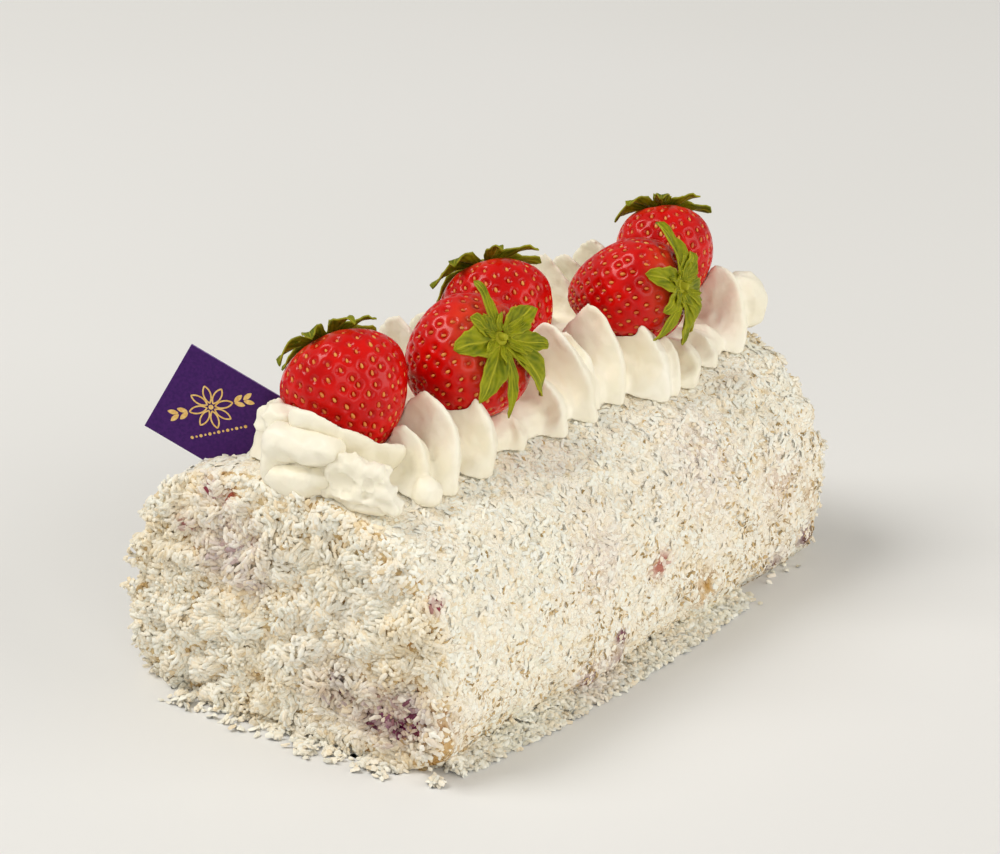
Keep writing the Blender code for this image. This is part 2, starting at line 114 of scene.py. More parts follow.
def pieceFrom(bm, name, material, smooth=True):
    mesh = bpy.data.meshes.new(name)
    bm.to_mesh(mesh)
    bm.free()
    if smooth:
        mesh.shade_smooth()
    mesh.materials.append(material)
    return linked(name, mesh)


def applyModifiers(piece):
    bpy.context.view_layer.update()
    evaluated = piece.evaluated_get(bpy.context.evaluated_depsgraph_get())
    mesh = bpy.data.meshes.new_from_object(evaluated)
    piece.modifiers.clear()
    piece.data = mesh


def present(piece, slotName, *nodes):
    # every piece rides on the one body; some stand for a CAD node
    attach(piece, "root")
    if nodes:
        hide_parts(*nodes)


def smoothStep(value):
    value = min(max(value, 0.0), 1.0)
    return value * value * (3 - 2 * value)


def vertexArray(mesh, what="co"):
    values = np.empty(len(mesh.vertices) * 3)
    mesh.vertices.foreach_get(what, values)
    return values.reshape(-1, 3)


def noiseAt(points, size, shift=(0, 0, 0)):
    # smooth noise with features of this size, between -1 and 1, at each point
    return np.array([noise.noise(Vector(point) / size + Vector(shift)) for point in points])


def setTone(mesh, name, colours):
    layer = mesh.attributes.new(name, "FLOAT_COLOR", "POINT")
    layer.data.foreach_set("color", np.column_stack((colours, np.ones(len(colours)))).ravel())


def setShare(mesh, name, values):
    mesh.attributes.new(name, "FLOAT", "POINT").data.foreach_set("value", values)


cameraView = {
    "azimuth": -52.26,
    "elevation": 22.61,
    "distance": 0.8,
    "aim": (0, 0, 0.035),
    "lens": 111.74,
    "sensor": 36,
    "shift": (0.0075, 0.06055),
}

studio = {
    "skyHex": "F5F1E9",
    "skyStrength": 0.42,
    "lampHex": "FFFDF9",
    "lampAim": (0, 0, 0.04),
    "lamps": {  # place and size in metres, power in watts
        "softboxAbove": ((-1.1, 1.2, 2.3), 1.3, 46.0),
        "keyFront": ((-2.5, -2.8, 1.6), 2.4, 39.0),
        "fillFront": ((1.7, -4.3, 1.7), 3.2, 93.0),
    },
    "floorSize": 7.0,
    "floorTones": ("E3E3E1", "E9E9E9"),
}


def makeCamera(view):
    side, rise = math.radians(view["azimuth"]), math.radians(view["elevation"])
    back = Vector((math.sin(side) * math.cos(rise), -math.cos(side) * math.cos(rise), math.sin(rise)))
    right = Vector((math.cos(side), math.sin(side), 0))
    pose = Matrix((right, back.cross(right), back)).transposed().to_4x4()
    pose.translation = Vector(view["aim"]) + back * view["distance"]
    lens = bpy.data.cameras.new("photoCamera")
    lens.lens = view["lens"]
    lens.sensor_width = view["sensor"]
    lens.shift_x, lens.shift_y = view["shift"]
    camera = linked("photoCamera", lens)
    camera.matrix_world = pose
    bpy.context.scene.camera = camera


def makeLamp(name, place, size, watts):
    light = bpy.data.lights.new(name, "AREA")
    light.size, light.energy = size, watts
    light.color = toLinear(studio["lampHex"])
    aim = (Vector(studio["lampAim"]) - Vector(place)).to_track_quat("-Z", "Y")
    linked(name, light).matrix_world = Matrix.Translation(place) @ aim.to_matrix().to_4x4()


def makeStudio():
    world = bpy.data.worlds.new("softStudio")
    bpy.context.scene.world = world
    world.use_nodes = True
    sky = world.node_tree.nodes["Background"]
    wire(world.node_tree, sky, {"Color": rgba(studio["skyHex"]), "Strength": studio["skyStrength"]})
    for name, lamp in studio["lamps"].items():
        makeLamp(name, *lamp)
    # matt painted board: almost no gloss, a trace of unevenness
    plain, fleck = studio["floorTones"]
    values = {"Roughness": 0.75, "IOR": 1.4}
    material = grainedMaterial("paintedBoard", values, 400, 2, [(0, plain), (1, fleck)])
    bm = bmesh.new()
    bmesh.ops.create_grid(bm, x_segments=1, y_segments=1, size=studio["floorSize"] / 2)
    pieceFrom(bm, "floor", material, smooth=False)
    bpy.context.scene.view_settings.view_transform = "Standard"


makeCamera(cameraView)
makeStudio()
print("camera, floor and light made")


# The roll is a log with its coat of grated coconut.
roll = {
    "length": 166.5 * mm,
    "width": 100.5 * mm,
    "height": 63.5 * mm,
    "widestHeight": 22 * mm,
    "footSink": 2 * mm,
    "topPower": 2.5,
    "footPower": 5.0,
    "rimPower": 28.0,
    "endBulge": 1.5 * mm,
    "cells": {"along": 35, "across": 20, "above": 9, "below": 5},
    "finerCuts": 3,
    "lumps": (26 * mm, 1.6 * mm),       # spacing and depth
    "crags": (5.6 * mm, 1.9 * mm),
    "endCrags": 1.3,
    "flatLevel": 1.3 * mm,
    "cover": {"middle": -4 * mm, "halfWidth": 27 * mm, "edge": 7 * mm, "level": 50 * mm},
    "bank": {"start": -78 * mm, "end": 40 * mm, "width": 8 * mm, "inner": 38 * mm, "spacing": 17 * mm},
    "clumps": (8.5 * mm, 1.1 * mm),     # clumps of shreds, on the ends only
    "endFacing": 0.7,                   # how squarely the ends face along X
    "probe": 0.02,                      # step on the cube that gives the slope
    "bedDepth": 0.55 * mm,              # the bed lies this far under the shreds' mean level
    "pits": (2.3 * mm, 0.8 * mm),
}

# Places in millimetres: jam that shows through, and sponge where the coat is thin. Each has its reach,
# strength and colour.
stains = [
    ((-83, -19, 15), 7.0, 0.45, "7E4664"),
    ((-83, -33, 13), 6.5, 0.62, "85406A"),
    ((-83, -40, 15), 6.5, 0.70, "74284F"),
    ((-83, -20.5, 19.5), 2.2, 1.5, "4C1030"),
    ((-83, -28.5, 10), 3.2, 1.3, "64183C"),
    ((-83, -37, 11), 2.4, 1.3, "641840"),
    ((-83, -43, 17), 2.6, 1.1, "6A2044"),
    ((-83, 13, 44), 8.0, 0.46, "8A5878"),
    ((-83, 19, 41), 5.0, 0.42, "865074"),
    ((-83, 21, 56.5), 2.4, 1.3, "82183C"),
    ((-83, 15, 56), 1.8, 1.0, "A84A34"),
    ((-83, 28, 47), 2.4, 0.9, "98404A"),
    ((-83, 7, 36), 3.2, 0.5, "84607C"),
    ((-80.7, -46, 44), 1.8, 1.1, "8A2440"),
    ((-12.9, -50, 12.3), 1.6, 1.0, "6A1A40"),
    ((-14, -49, 5.6), 4.0, 0.36, "7C4058"),
    ((-25, -50, 3), 5.0, 0.40, "7C4058"),
    ((5, -50, 25), 3.0, 0.7, "B87464"),
    ((-20, -49, 36), 10.0, 0.14, "B89AA0"),
    ((30, -46, 45), 12.0, 0.16, "B89AA0"),
    ((60, -48, 30), 9.0, 0.16, "B08070"),
    ((76, -50, 8), 4.0, 0.6, "7C5868"),
    ((60, -50, 3), 5.0, 0.5, "7C5868"),
]
spongeSpots = [
    ((-83, -46, 6), 7.0, 0.95),
    ((-76, -49, 4), 6.0, 0.6),
    ((25, -50, 11.5), 5.0, 0.9),
    ((-83, 47, 24), 4.5, 0.8),
    ((-83, 46, 34), 4.0, 0.55),
    ((-83, 33, 3), 8.0, 0.55),
    ((76, -50, 20), 4.0, 0.7),
    ((-83, 0.5, 53), 4.0, 0.45),
    ((-83, -16, 52), 5.0, 0.35),
    ((-60, 50, 9), 7.0, 0.6),
    ((10, 50, 6), 8.0, 0.55),
    ((83, 20, 8), 8.0, 0.6),
    ((83, -25, 5), 7.0, 0.5),
]


def rollSurface(cube):
    # the smooth log under a point on a cube that reaches from -1 to 1
    power = roll["topPower"] if cube.z > 0 else roll["footPower"]
    square = max(abs(cube.y), abs(cube.z))
    ring = (abs(cube.y) ** power + abs(cube.z) ** power) ** (1 / power)
    rim = (abs(cube.x) ** roll["rimPower"] + square ** roll["rimPower"]) ** (-1 / roll["rimPower"])
    inward = rim * square / ring if ring else 0
    above = roll["height"] - roll["widestHeight"]
    height = above if cube.z > 0 else roll["widestHeight"] + roll["footSink"]
    bulge = roll["endBulge"] * (1 - square * square) * cube.x
    return Vector((
        cube.x * rim * roll["length"] / 2 + bulge,
        cube.y * inward * roll["width"] / 2,
        roll["widestHeight"] + cube.z * inward * height,
    ))


def rollNormal(cube):
    face = max(range(3), key=lambda axis: abs(cube[axis]))
    steps = []
    for axis in range(3):
        if axis != face:
            away = Vector((0, 0, 0))
            away[axis] = roll["probe"] if cube[axis] < 0 else -roll["probe"]
            steps.append(rollSurface(cube + away) - rollSurface(cube))
    normal = steps[0].cross(steps[1]).normalized()
    outward = rollSurface(cube) - Vector((0, 0, roll["widestHeight"]))
    outward.x *= 0.3
    return normal if normal.dot(outward) > 0 else -normal


def bareShare(point):
    # how much of the relief shows: none under the cream
    cover = roll["cover"]
    if point.z < cover["level"]:
        return 1.0
    return smoothStep((abs(point.y - cover["middle"]) - cover["halfWidth"]) / cover["edge"])


def coatPoint(cube, grow=0.0, pitDepth=0.0):
    base, normal = rollSurface(cube), rollNormal(cube)
    lumps = roll["lumps"][1] * noise.noise(base / roll["lumps"][0])
    crags = roll["crags"][1] * noise.noise(base / roll["crags"][0] + Vector((3.3, 7.1, 1.7)))
    if abs(normal.x) > roll["endFacing"]:
        crags *= roll["endCrags"]
        if pitDepth:
            crags += roll["clumps"][1] * noise.noise(base / roll["clumps"][0] + Vector((9.1, 2.7, 5.3)))
    pits = pitDepth * min(noise.noise(base / roll["pits"][0]) + 0.1, 0.2)
    point = base + normal * ((lumps + crags + pits) * bareShare(base) + grow)
    if base.z < roll["flatLevel"]:
        bank = roll["bank"]
        along = (point.x - bank["start"]) / (bank["end"] - bank["start"])
        if 0 < along < 1 and point.y < -bank["inner"]:
            uneven = 0.75 + 0.5 * noise.noise(Vector((point.x / bank["spacing"], 0.5, 0.5)))
            point.y -= bank["width"] * uneven * math.sin(math.pi * along) ** 0.4
        point.z = 0
    point.z = max(point.z, 0)
    return point


def gridCube(finerCuts):
    cells = roll["cells"]
    bm = bmesh.new()
    bmesh.ops.create_cube(bm, size=2)
    cuts = [(axis, 2 * at / cells[side] - 1)
            for axis, side in enumerate(("along", "across")) for at in range(1, cells[side])]
    cuts += [(2, at / cells["above"]) for at in range(cells["above"])]
    cuts += [(2, -at / cells["below"]) for at in range(1, cells["below"])]
    for axis, place in cuts:
        normal = Vector((0, 0, 0))
        normal[axis] = 1
        everything = bm.verts[:] + bm.edges[:] + bm.faces[:]
        bmesh.ops.bisect_plane(bm, geom=everything, plane_co=normal * place, plane_no=normal)
    if finerCuts:
        bmesh.ops.subdivide_edges(bm, edges=bm.edges[:], cuts=finerCuts, use_grid_fill=True)
    return bm


def makeCoat(name, material, finerCuts, grow, pitDepth=0.0):
    bm = gridCube(finerCuts)
    places = [coatPoint(vertex.co.copy(), grow, pitDepth) for vertex in bm.verts]
    for vertex, place in zip(bm.verts, places):
        vertex.co = place
    bmesh.ops.recalc_face_normals(bm, faces=bm.faces[:])
    return pieceFrom(bm, name, material)


def nearness(points, centre, reach):
    # 1 at the centre, falling softly to 0 a little beyond the reach
    away = np.linalg.norm(points - np.array(centre) * mm, axis=1)
    return np.exp(-(away / (reach * mm)) ** 2)


def bareness(points):
    share = np.zeros(len(points))
    for centre, reach, strength in spongeSpots:
        share = np.maximum(share, strength * nearness(points, centre, reach))
    return share


bed = {
    # the end and pit tones are partly painted shade: the bed is darker in its pits, and darker and warmer on
    # the ends where it shows between the clumps; partly they are the cake's own colour
    "end": "E4CDA0",
    "endPit": "B58A52",
    "endFrom": 80 * mm,
    "side": "FCF4E2",
    "sidePit": "EFE0C0",
    "sponge": "C49A5A",
    # cleft is painted shade: the colour that the cleft lines between the nubs are darkened towards
    "cleft": "A88A5C",
    "nub": 1.25,        # sizes in millimetres
    "wander": 1.3,
    "patch": 2.6,
    "uneven": 2.4,
    "stainStrength": 2.2,
    "cleftShare": {"base": 0.08, "below": 42 * mm, "far": 0.25, "reach": 80 * mm},
}


def lowAndFar(points, share):
    # commoner low down and towards the far end
    low = np.clip(1 - points[:, 2] / share["below"], 0, 1)
    return share["base"] + low + share["far"] * np.clip(points[:, 0] / share["reach"], 0, 1)


def bedMaterial():
    # coconut pressed into the cream under it: a matt white crust of nubs; the cleft lines between some of them
    # are darkened warm, as painted shade
    material, tree, shader, place = startMaterial("mattedCoconut", {
        "Roughness": 0.85, "IOR": 1.4, "Specular IOR Level": 0.12,
        "Subsurface Weight": 0.25, "Subsurface Radius": (0.8, 0.88, 1.0), "Subsurface Scale": 1.0 * mm,
    })
    nubScale = perMm(bed["nub"])
    wander = addNode(tree, "TexNoise", {"Vector": place, "Scale": nubScale, "Detail": 2})
    moved = addNode(tree, "VectorMath", {
        0: wander.outputs["Color"], 1: (bed["wander"] * mm,) * 3, 2: place,
    }, operation="MULTIPLY_ADD")
    border = addNode(tree, "TexVoronoi", {"Vector": moved, "Scale": nubScale}, feature="DISTANCE_TO_EDGE")
    # painted shade: the lines between the nubs are darkened towards the cleft colour, in patches, more low down
    # and towards the far end
    cleft = addNode(tree, "MapRange", {
        "Value": border, "From Min": 0.02, "From Max": 0.16, "To Min": 1.0, "To Max": 0.0,
    }, interpolation_type="SMOOTHSTEP")
    patches = addNode(tree, "TexNoise", {"Vector": place, "Scale": perMm(bed["patch"]), "Detail": 3})
    patchShare = addNode(tree, "MapRange", {
        "Value": patches, "From Min": 0.48, "From Max": 0.6,
    }, interpolation_type="SMOOTHSTEP")
    cleftShare = addNode(tree, "Attribute", {}, attribute_name="clefts").outputs["Fac"]
    chosen = addNode(tree, "Math", {0: patchShare, 1: cleftShare}, operation="MULTIPLY")
    share = addNode(tree, "Math", {0: cleft, 1: chosen}, operation="MULTIPLY")
    tone = addNode(tree, "Attribute", {}, attribute_name="bedTone")
    cleftTone = {0: share, 6: tone, 7: rgba(bed["cleft"])}
    mixed = addNode(tree, "Mix", cleftTone, data_type="RGBA", blend_type="MULTIPLY")
    nubs = addNode(tree, "MapRange", {
        "Value": border, "From Min": 0.0, "From Max": 0.4,
    }, interpolation_type="SMOOTHSTEP")
    bump = addNode(tree, "Bump", {"Height": nubs, "Strength": 0.7, "Distance": 0.45 * mm})
    wire(tree, shader, {"Base Color": mixed, "Normal": bump})
    return material


def makeBed():
    piece = makeCoat("coconutBed", bedMaterial(), roll["finerCuts"], -roll["bedDepth"], roll["pits"][1])
    points = vertexArray(piece.data)
    atEnd = np.abs(points[:, 0])[:, None] > bed["endFrom"]
    # painted shade, partly the cake's own colour: the bed is darker in its pits, and darker and warmer on the
    # ends
    deep = np.clip((-noiseAt(points, roll["pits"][0])[:, None] - 0.12) * 3.5, 0, 1)
    level = np.where(atEnd, toLinear(bed["end"]), toLinear(bed["side"]))
    pitShadeTone = np.where(atEnd, toLinear(bed["endPit"]), toLinear(bed["sidePit"]))
    colours = level * (1 - deep) + deep * pitShadeTone
    uneven = noiseAt(points, bed["uneven"] * mm)
    share = np.clip(bareness(points) * np.clip(0.9 + 1.7 * uneven, 0, 1.3), 0, 1)[:, None]
    colours = colours * (1 - share) + toLinear(bed["sponge"]) * share
    for centre, reach, strength, hexColour in stains:
        share = np.clip(bed["stainStrength"] * strength * nearness(points, centre, reach), 0, 0.97)[:, None]
        colours = colours * (1 - share) + toLinear(hexColour) * share
    setTone(piece.data, "bedTone", colours)
    # painted shade: how strongly the cleft lines darken, more low down and towards the far end
    setShare(piece.data, "clefts", np.clip(lowAndFar(points, bed["cleftShare"]), 0, 1))
    present(piece, "coconut_coat", "roll")
    return piece


coatBed = makeBed()
print("bed of the coat made")


# A shred is one small rod, bent and turned anew for each place.
def meshArrays(bm):
    # the corners and the triangles of a small shape that is repeated
    bmesh.ops.triangulate(bm, faces=bm.faces[:])
    bm.verts.index_update()
    places = np.array([vertex.co[:] for vertex in bm.verts])
    faces = np.array([[vertex.index for vertex in face.verts] for face in bm.faces])
    bm.free()
    return places, faces


def shredShape():
    # a square rod of unit length along X in two halves, one edge up, with its ends drawn in
    bm = bmesh.new()
    bmesh.ops.create_cube(bm, size=1)
    everything = bm.verts[:] + bm.edges[:] + bm.faces[:]
    bmesh.ops.bisect_plane(bm, geom=everything, plane_co=(0, 0, 0), plane_no=(1, 0, 0))
    bmesh.ops.rotate(bm, verts=bm.verts[:], cent=(0, 0, 0), matrix=Matrix.Rotation(math.radians(45), 3, "X"))
    for vertex in bm.verts:
        drawnIn = 0.62 if abs(vertex.co.x) > 0.49 else 0.95
        vertex.co.y *= drawnIn
        vertex.co.z *= drawnIn
    return meshArrays(bm)


def repeatedPiece(name, places, shapeFaces, material):
    # one mesh from the places of every copy's corners, copy by copy
    copies, corners = places.shape[:2]
    faces = (shapeFaces[None] + np.arange(copies)[:, None, None] * corners).reshape(-1, 3)
    places = places.reshape(-1, 3)
    mesh = bpy.data.meshes.new(name)
    mesh.vertices.add(len(places))
    mesh.vertices.foreach_set("co", places.ravel())
    mesh.loops.add(faces.size)
    mesh.loops.foreach_set("vertex_index", faces.ravel())
    mesh.polygons.add(len(faces))
    mesh.polygons.foreach_set("loop_start", np.arange(0, faces.size, faces.shape[1]))
    mesh.update(calc_edges=True)
    mesh.validate()
    mesh.shade_smooth()
    mesh.materials.append(material)
    return linked(name, mesh)


def unit(vectors):
    return vectors / np.maximum(np.linalg.norm(vectors, axis=1), 1e-9)[:, None]


def strewShreds(name, material, draw, points, normals, kindName, colours):
    # a shred lies along the surface, lifts at one end and is spun about itself
    kind, count = dict(zip(shredColumns, shredKinds[kindName])), len(points)
    length = draw.uniform(*kind["length"], count) * mm
    width = draw.uniform(*kind["width"], count) * mm
    thickness = width * draw.uniform(*kind["flat"], count)
    bend = draw.normal(0, kind["bend"], count) * length
    curl = draw.normal(0, kind["bend"], count) * length
    tilt = np.radians(draw.beta(1.2, kind["tiltFalloff"], count) * kind["tilt"])
    helper = unit(draw.normal(size=(count, 3)))
    flow = np.array([noise.noise_vector(Vector(point) / shreds["flow"]) for point in points])
    level = unit(np.cross(normals, helper * (1 - kind["combing"]) + flow * 2.5 * kind["combing"]))
    along = level * np.cos(tilt)[:, None] + normals * np.sin(tilt)[:, None]
    side = unit(np.cross(along, normals + 0.01 * helper))
    top = np.cross(along, side)
    spin = draw.uniform(-kind["spin"], kind["spin"], count)[:, None]
    side, top = side * np.cos(spin) + top * np.sin(spin), top * np.cos(spin) - side * np.sin(spin)
    shape, faces = shredShape()
    arch = (1 - 4 * shape[:, 0] ** 2)[None, :]
    x = shape[None, :, 0] * length[:, None]
    y = shape[None, :, 1] * width[:, None] + bend[:, None] * arch
    z = shape[None, :, 2] * thickness[:, None] + curl[:, None] * arch
    clump = noiseAt(points, shreds["clumpSize"], (5, 1, 8))
    lift = (draw.uniform(*kind["lift"], count) + kind["clump"] * clump) * mm + 0.42 * length * np.sin(tilt)
    centres = points + normals * lift[:, None]
    places = centres[:, None] + x[..., None] * along[:, None] + y[..., None] * side[:, None]
    places += z[..., None] * top[:, None]
    places[..., 2] = np.maximum(places[..., 2], shreds["floorGap"])
    piece = repeatedPiece(name, places, faces, material)
    mesh = piece.data
    setTone(mesh, "shredTone", np.repeat(colours, len(shape), axis=0))
    # matted shreds catch the light partly as one surface
    lean = kind["soften"]
    softer = unit(vertexArray(mesh, "normal") * (1 - lean) + np.repeat(normals, len(shape), axis=0) * lean)
    mesh.normals_split_custom_set_from_vertices(softer)
    present(piece, "coconut_coat")


def shredMaterial():
    # grated coconut, dried and sugared: matt, nearly white, with a faint moist gleam
    material, tree, shader, place = startMaterial("gratedCoconut", {
        "Roughness": 0.8, "IOR": 1.42, "Specular IOR Level": 0.12,
        "Subsurface Weight": 0.12, "Subsurface Radius": (0.8, 0.88, 1.0), "Subsurface Scale": 1.0 * mm,
    })
    tone = addNode(tree, "Attribute", {}, attribute_name="shredTone")
    grain = addNode(tree, "TexNoise", {"Vector": place, "Scale": perMm(0.9), "Detail": 2})
    shade = addNode(tree, "ValToRGB", {"Fac": grain}, stops=[(0.3, "F6F0E4"), (0.55, "FFFFFF")])
    mixed = addNode(tree, "Mix", {0: 0.7, 6: tone, 7: shade}, data_type="RGBA", blend_type="MULTIPLY")
    bump = addNode(tree, "Bump", {"Height": grain, "Strength": 0.25, "Distance": 0.2 * mm})
    wire(tree, shader, {"Base Color": mixed, "Normal": bump})
    return material


shredColumns = (
    "length", "width", "flat", "bend", "tilt", "tiltFalloff", "spin", "lift", "clump", "combing", "soften")
shredKinds = {
    # Pairs are from and to. Length, width, lift and clump are in millimetres, tilt in degrees and spin in
    # radians. Flat is the thickness for the width, and soften how far the shading follows the coat.
    "under": ((1.4, 3.0), (0.8, 1.2), (0.7, 1.0), 0.08, 40, 1.8, 3.1, (-0.4, 0.2), 0.8, 0.3, 0.4),
    "chunky": ((1.4, 3.2), (0.78, 1.2), (0.75, 1.0), 0.09, 66, 1.4, 3.1, (-0.1, 0.6), 4.2, 0.6, 0.42),
    "fine": ((1.0, 2.2), (0.85, 1.35), (0.5, 0.8), 0.08, 13, 2.2, 0.5, (-0.56, -0.16), 0.3, 0.2, 0.84),
    "fluffy": ((1.2, 2.8), (0.7, 1.15), (0.6, 0.9), 0.12, 30, 2.0, 1.5, (-0.3, 0.15), 0.5, 0.25, 0.75),
    # mark: small brown flakes sunk among the fine shreds, painted shade for small gaps and dents, partly the
    # cake's own colour showing
    "mark": ((0.8, 2.0), (0.4, 0.62), (0.4, 0.6), 0.16, 6, 2.0, 0.3, (-0.2, 0.1), 0.3, 0.0, 0.9),
    "fallen": ((1.1, 2.6), (0.8, 1.25), (0.6, 0.9), 0.08, 26, 2.6, 1.2, (0.2, 0.5), 0.0, 0.1, 0.6),
}
shreds = {
    "tones": ["FFFAEE", "FEF6E6", "FBF1DC", "F7E9CF", "EDDAB8", "D2B688", "A38A5E"],
    "chances": {
        # under: the lower layer takes more beige tones, painted shade where it shows between the clumps
        "under": [0.06, 0.16, 0.27, 0.27, 0.18, 0.06, 0],
        "top": [0.40, 0.34, 0.18, 0.07, 0.01, 0, 0],
        "side": [0.42, 0.34, 0.19, 0.05, 0, 0, 0],
        "back": [0.36, 0.31, 0.22, 0.08, 0.025, 0.005, 0],
        # the mark tones are painted shade, partly the cake's own colour
        "mark": [0, 0, 0, 0.04, 0.34, 0.44, 0.18],
        "fallen": [0.46, 0.32, 0.17, 0.05, 0, 0, 0],
    },
    "flow": 7 * mm,             # patches in which the shreds lie alike
    "clumpSize": 4.3 * mm,
    "floorGap": 0.05 * mm,
    "patchSize": 13 * mm,
    "warmFrom": 79 * mm,        # the ends, where the tones are warmer
    "warmLoss": (0.09, 0.13, 0.24),     # what the warmest patch there takes from red, green and blue
    "seed": 7,
}


def shredColours(draw, points, chances, stained):
    # a shred takes one tone, warmer in broad patches at the ends, and near a stain some take the jam's
    palette = np.array([toLinear(tone) for tone in shreds["tones"]])
    colours = palette[draw.choice(len(palette), size=len(points), p=np.array(chances) / sum(chances))]
    patch = noiseAt(points, shreds["patchSize"])[:, None]
    warm = np.clip(patch + 0.15, 0, 0.6) * (np.abs(points[:, 0]) > shreds["warmFrom"])[:, None]
    colours = colours * (1 + 0.04 * patch) * (1 - warm * np.array(shreds["warmLoss"]))
    for centre, reach, strength, hexColour in stains:
        near = stained * strength * nearness(points, centre, reach)
        share = np.clip(near * (0.15 + 1.5 * draw.uniform(0, 1, len(points)) ** 2.6), 0, 0.95)[:, None]
        colours = colours * (1 - share) + toLinear(hexColour) * share
    return np.clip(colours, 0, 0.96)


def spreadOver(surface, draw, count, weigh):
    # random places on a mesh, with the chance of each face given by its area and weight
    mesh = surface.data
    mesh.calc_loop_triangles()
    corners = np.empty(len(mesh.loop_triangles) * 3, np.int32)
    mesh.loop_triangles.foreach_get("vertices", corners)
    corners = corners.reshape(-1, 3)
    places, slopes = vertexArray(mesh), vertexArray(mesh, "normal")
    a, b, c = (places[corners[:, at]] for at in range(3))
    area = np.linalg.norm(np.cross(b - a, c - a), axis=1) / 2
    middle = (a + b + c) / 3
    facing = unit(slopes[corners].mean(axis=1))
    chance = area * weigh(middle, facing) * (1 - 0.8 * np.clip(bareness(middle) * 1.2, 0, 1))
    chosen = draw.choice(len(corners), size=count, p=chance / chance.sum())
    first, second = draw.uniform(size=(2, count, 1))
    root = np.sqrt(first)
    points = (1 - root) * a[chosen] + root * (1 - second) * b[chosen] + root * second * c[chosen]
    return points, facing[chosen]


coatZones = {
    "endFacing": 0.62,          # how squarely the ends face along X
    "frontSplit": 34 * mm,      # height between the low and the high front
    "hidden": {"middle": -4 * mm, "halfWidth": 17 * mm, "above": 50 * mm, "halfLength": 68 * mm},
    # the two below set where the painted-shade marks lie: in patches, more low down and towards the far end
    "markPatch": 9 * mm,
    "markShare": {"base": 0.12, "below": 50 * mm, "far": 0.3, "reach": 80 * mm},
    "layers": [  # piece, zone, count, kind, chances of the tones, how far stains tint it
        # the near end's lower layer, in beige tones as painted shade between the clumps
        ("shredsNearEndUnder", "nearEnd", 4600, "under", "under", 1.0),
        ("shredsNearEnd", "nearEnd", 9900, "chunky", "top", 1.0),
        ("shredsFrontLow", "frontLow", 5600, "fine", "side", 0.9),
        ("shredsFrontHigh", "frontHigh", 6400, "fine", "side", 0.9),
        ("shredTufts", "frontHigh", 2300, "fluffy", "side", 0.9),
        # brown flakes as painted shade in gaps and dents, partly the cake's own colour
        ("shredGapShade", "front", 2300, "mark", "mark", 1.0),
        ("shredsBack", "back", 7400, "fine", "back", 0.8),
        ("shredTuftsBack", "back", 2200, "fluffy", "back", 0.8),
        ("shredsFarEnd", "farEnd", 5600, "under", "back", 0.8),
    ],
}


def underCream(x, y, z):
    hidden = coatZones["hidden"]
    inWidth = np.abs(y - hidden["middle"]) < hidden["halfWidth"]
    return inWidth & (z > hidden["above"]) & (np.abs(x) < hidden["halfLength"])


def zoneWeight(zone):
    def weigh(middle, facing):
        x, y, z = middle.T
        side = np.abs(facing[:, 0]) <= coatZones["endFacing"]
        high = z >= coatZones["frontSplit"]
        inZone = {
            "nearEnd": facing[:, 0] < -coatZones["endFacing"],
            "farEnd": facing[:, 0] > coatZones["endFacing"],
            "front": side & (y < 0),
            "frontLow": side & (y < 0) & ~high,
            "frontHigh": side & (y < 0) & high,
            "back": side & (y >= 0),
        }[zone]
        shown = inZone & ~underCream(x, y, z) & ~((z < 0.6 * mm) & (facing[:, 2] < -0.3))
        if zone != "front":
            return shown.astype(float)
        more = lowAndFar(middle, coatZones["markShare"])
        return shown * more * np.clip(noiseAt(middle, coatZones["markPatch"]) + 0.25, 0.02, 1)
    return weigh


def makeShreds():
    material = shredMaterial()
    draw = np.random.default_rng(shreds["seed"])
    noise.seed_set(shreds["seed"])  # without this, noise_vector differs from run to run
    for name, zone, count, kind, chances, stained in coatZones["layers"]:
        points, normals = spreadOver(coatBed, draw, count, zoneWeight(zone))
        colours = shredColours(draw, points, shreds["chances"][chances], stained)
        strewShreds(name, material, draw, points, normals, kind, colours)
    return material


coconut = makeShreds()
print("shreds of the coat made")


crumbs = {  # counts, and places in millimetres
    "bankCount": 2900,
    "bankFoot": -46,
    "bankHeight": 3.2,
    "bankReach": (4, 5),        # at its ends, and how much more in the middle
    "bankOver": 6,              # past the end of the coat's own bank
    "endCount": 330,
    "endSpread": (-38, 33),
    "endFoot": (-82.5, 13),     # the foot of the near end, and how far they lie from it
    "looseCount": 90,
    "looseRing": (83, 50),
    "lumps": [(-89, 27, 2.6), (-87.5, -33, 2.2), (-84.5, -49, 2.0), (-91.5, -14, 2.4)],  # x, y, radius
    "lumpCount": 34,
    "seed": 19,
}


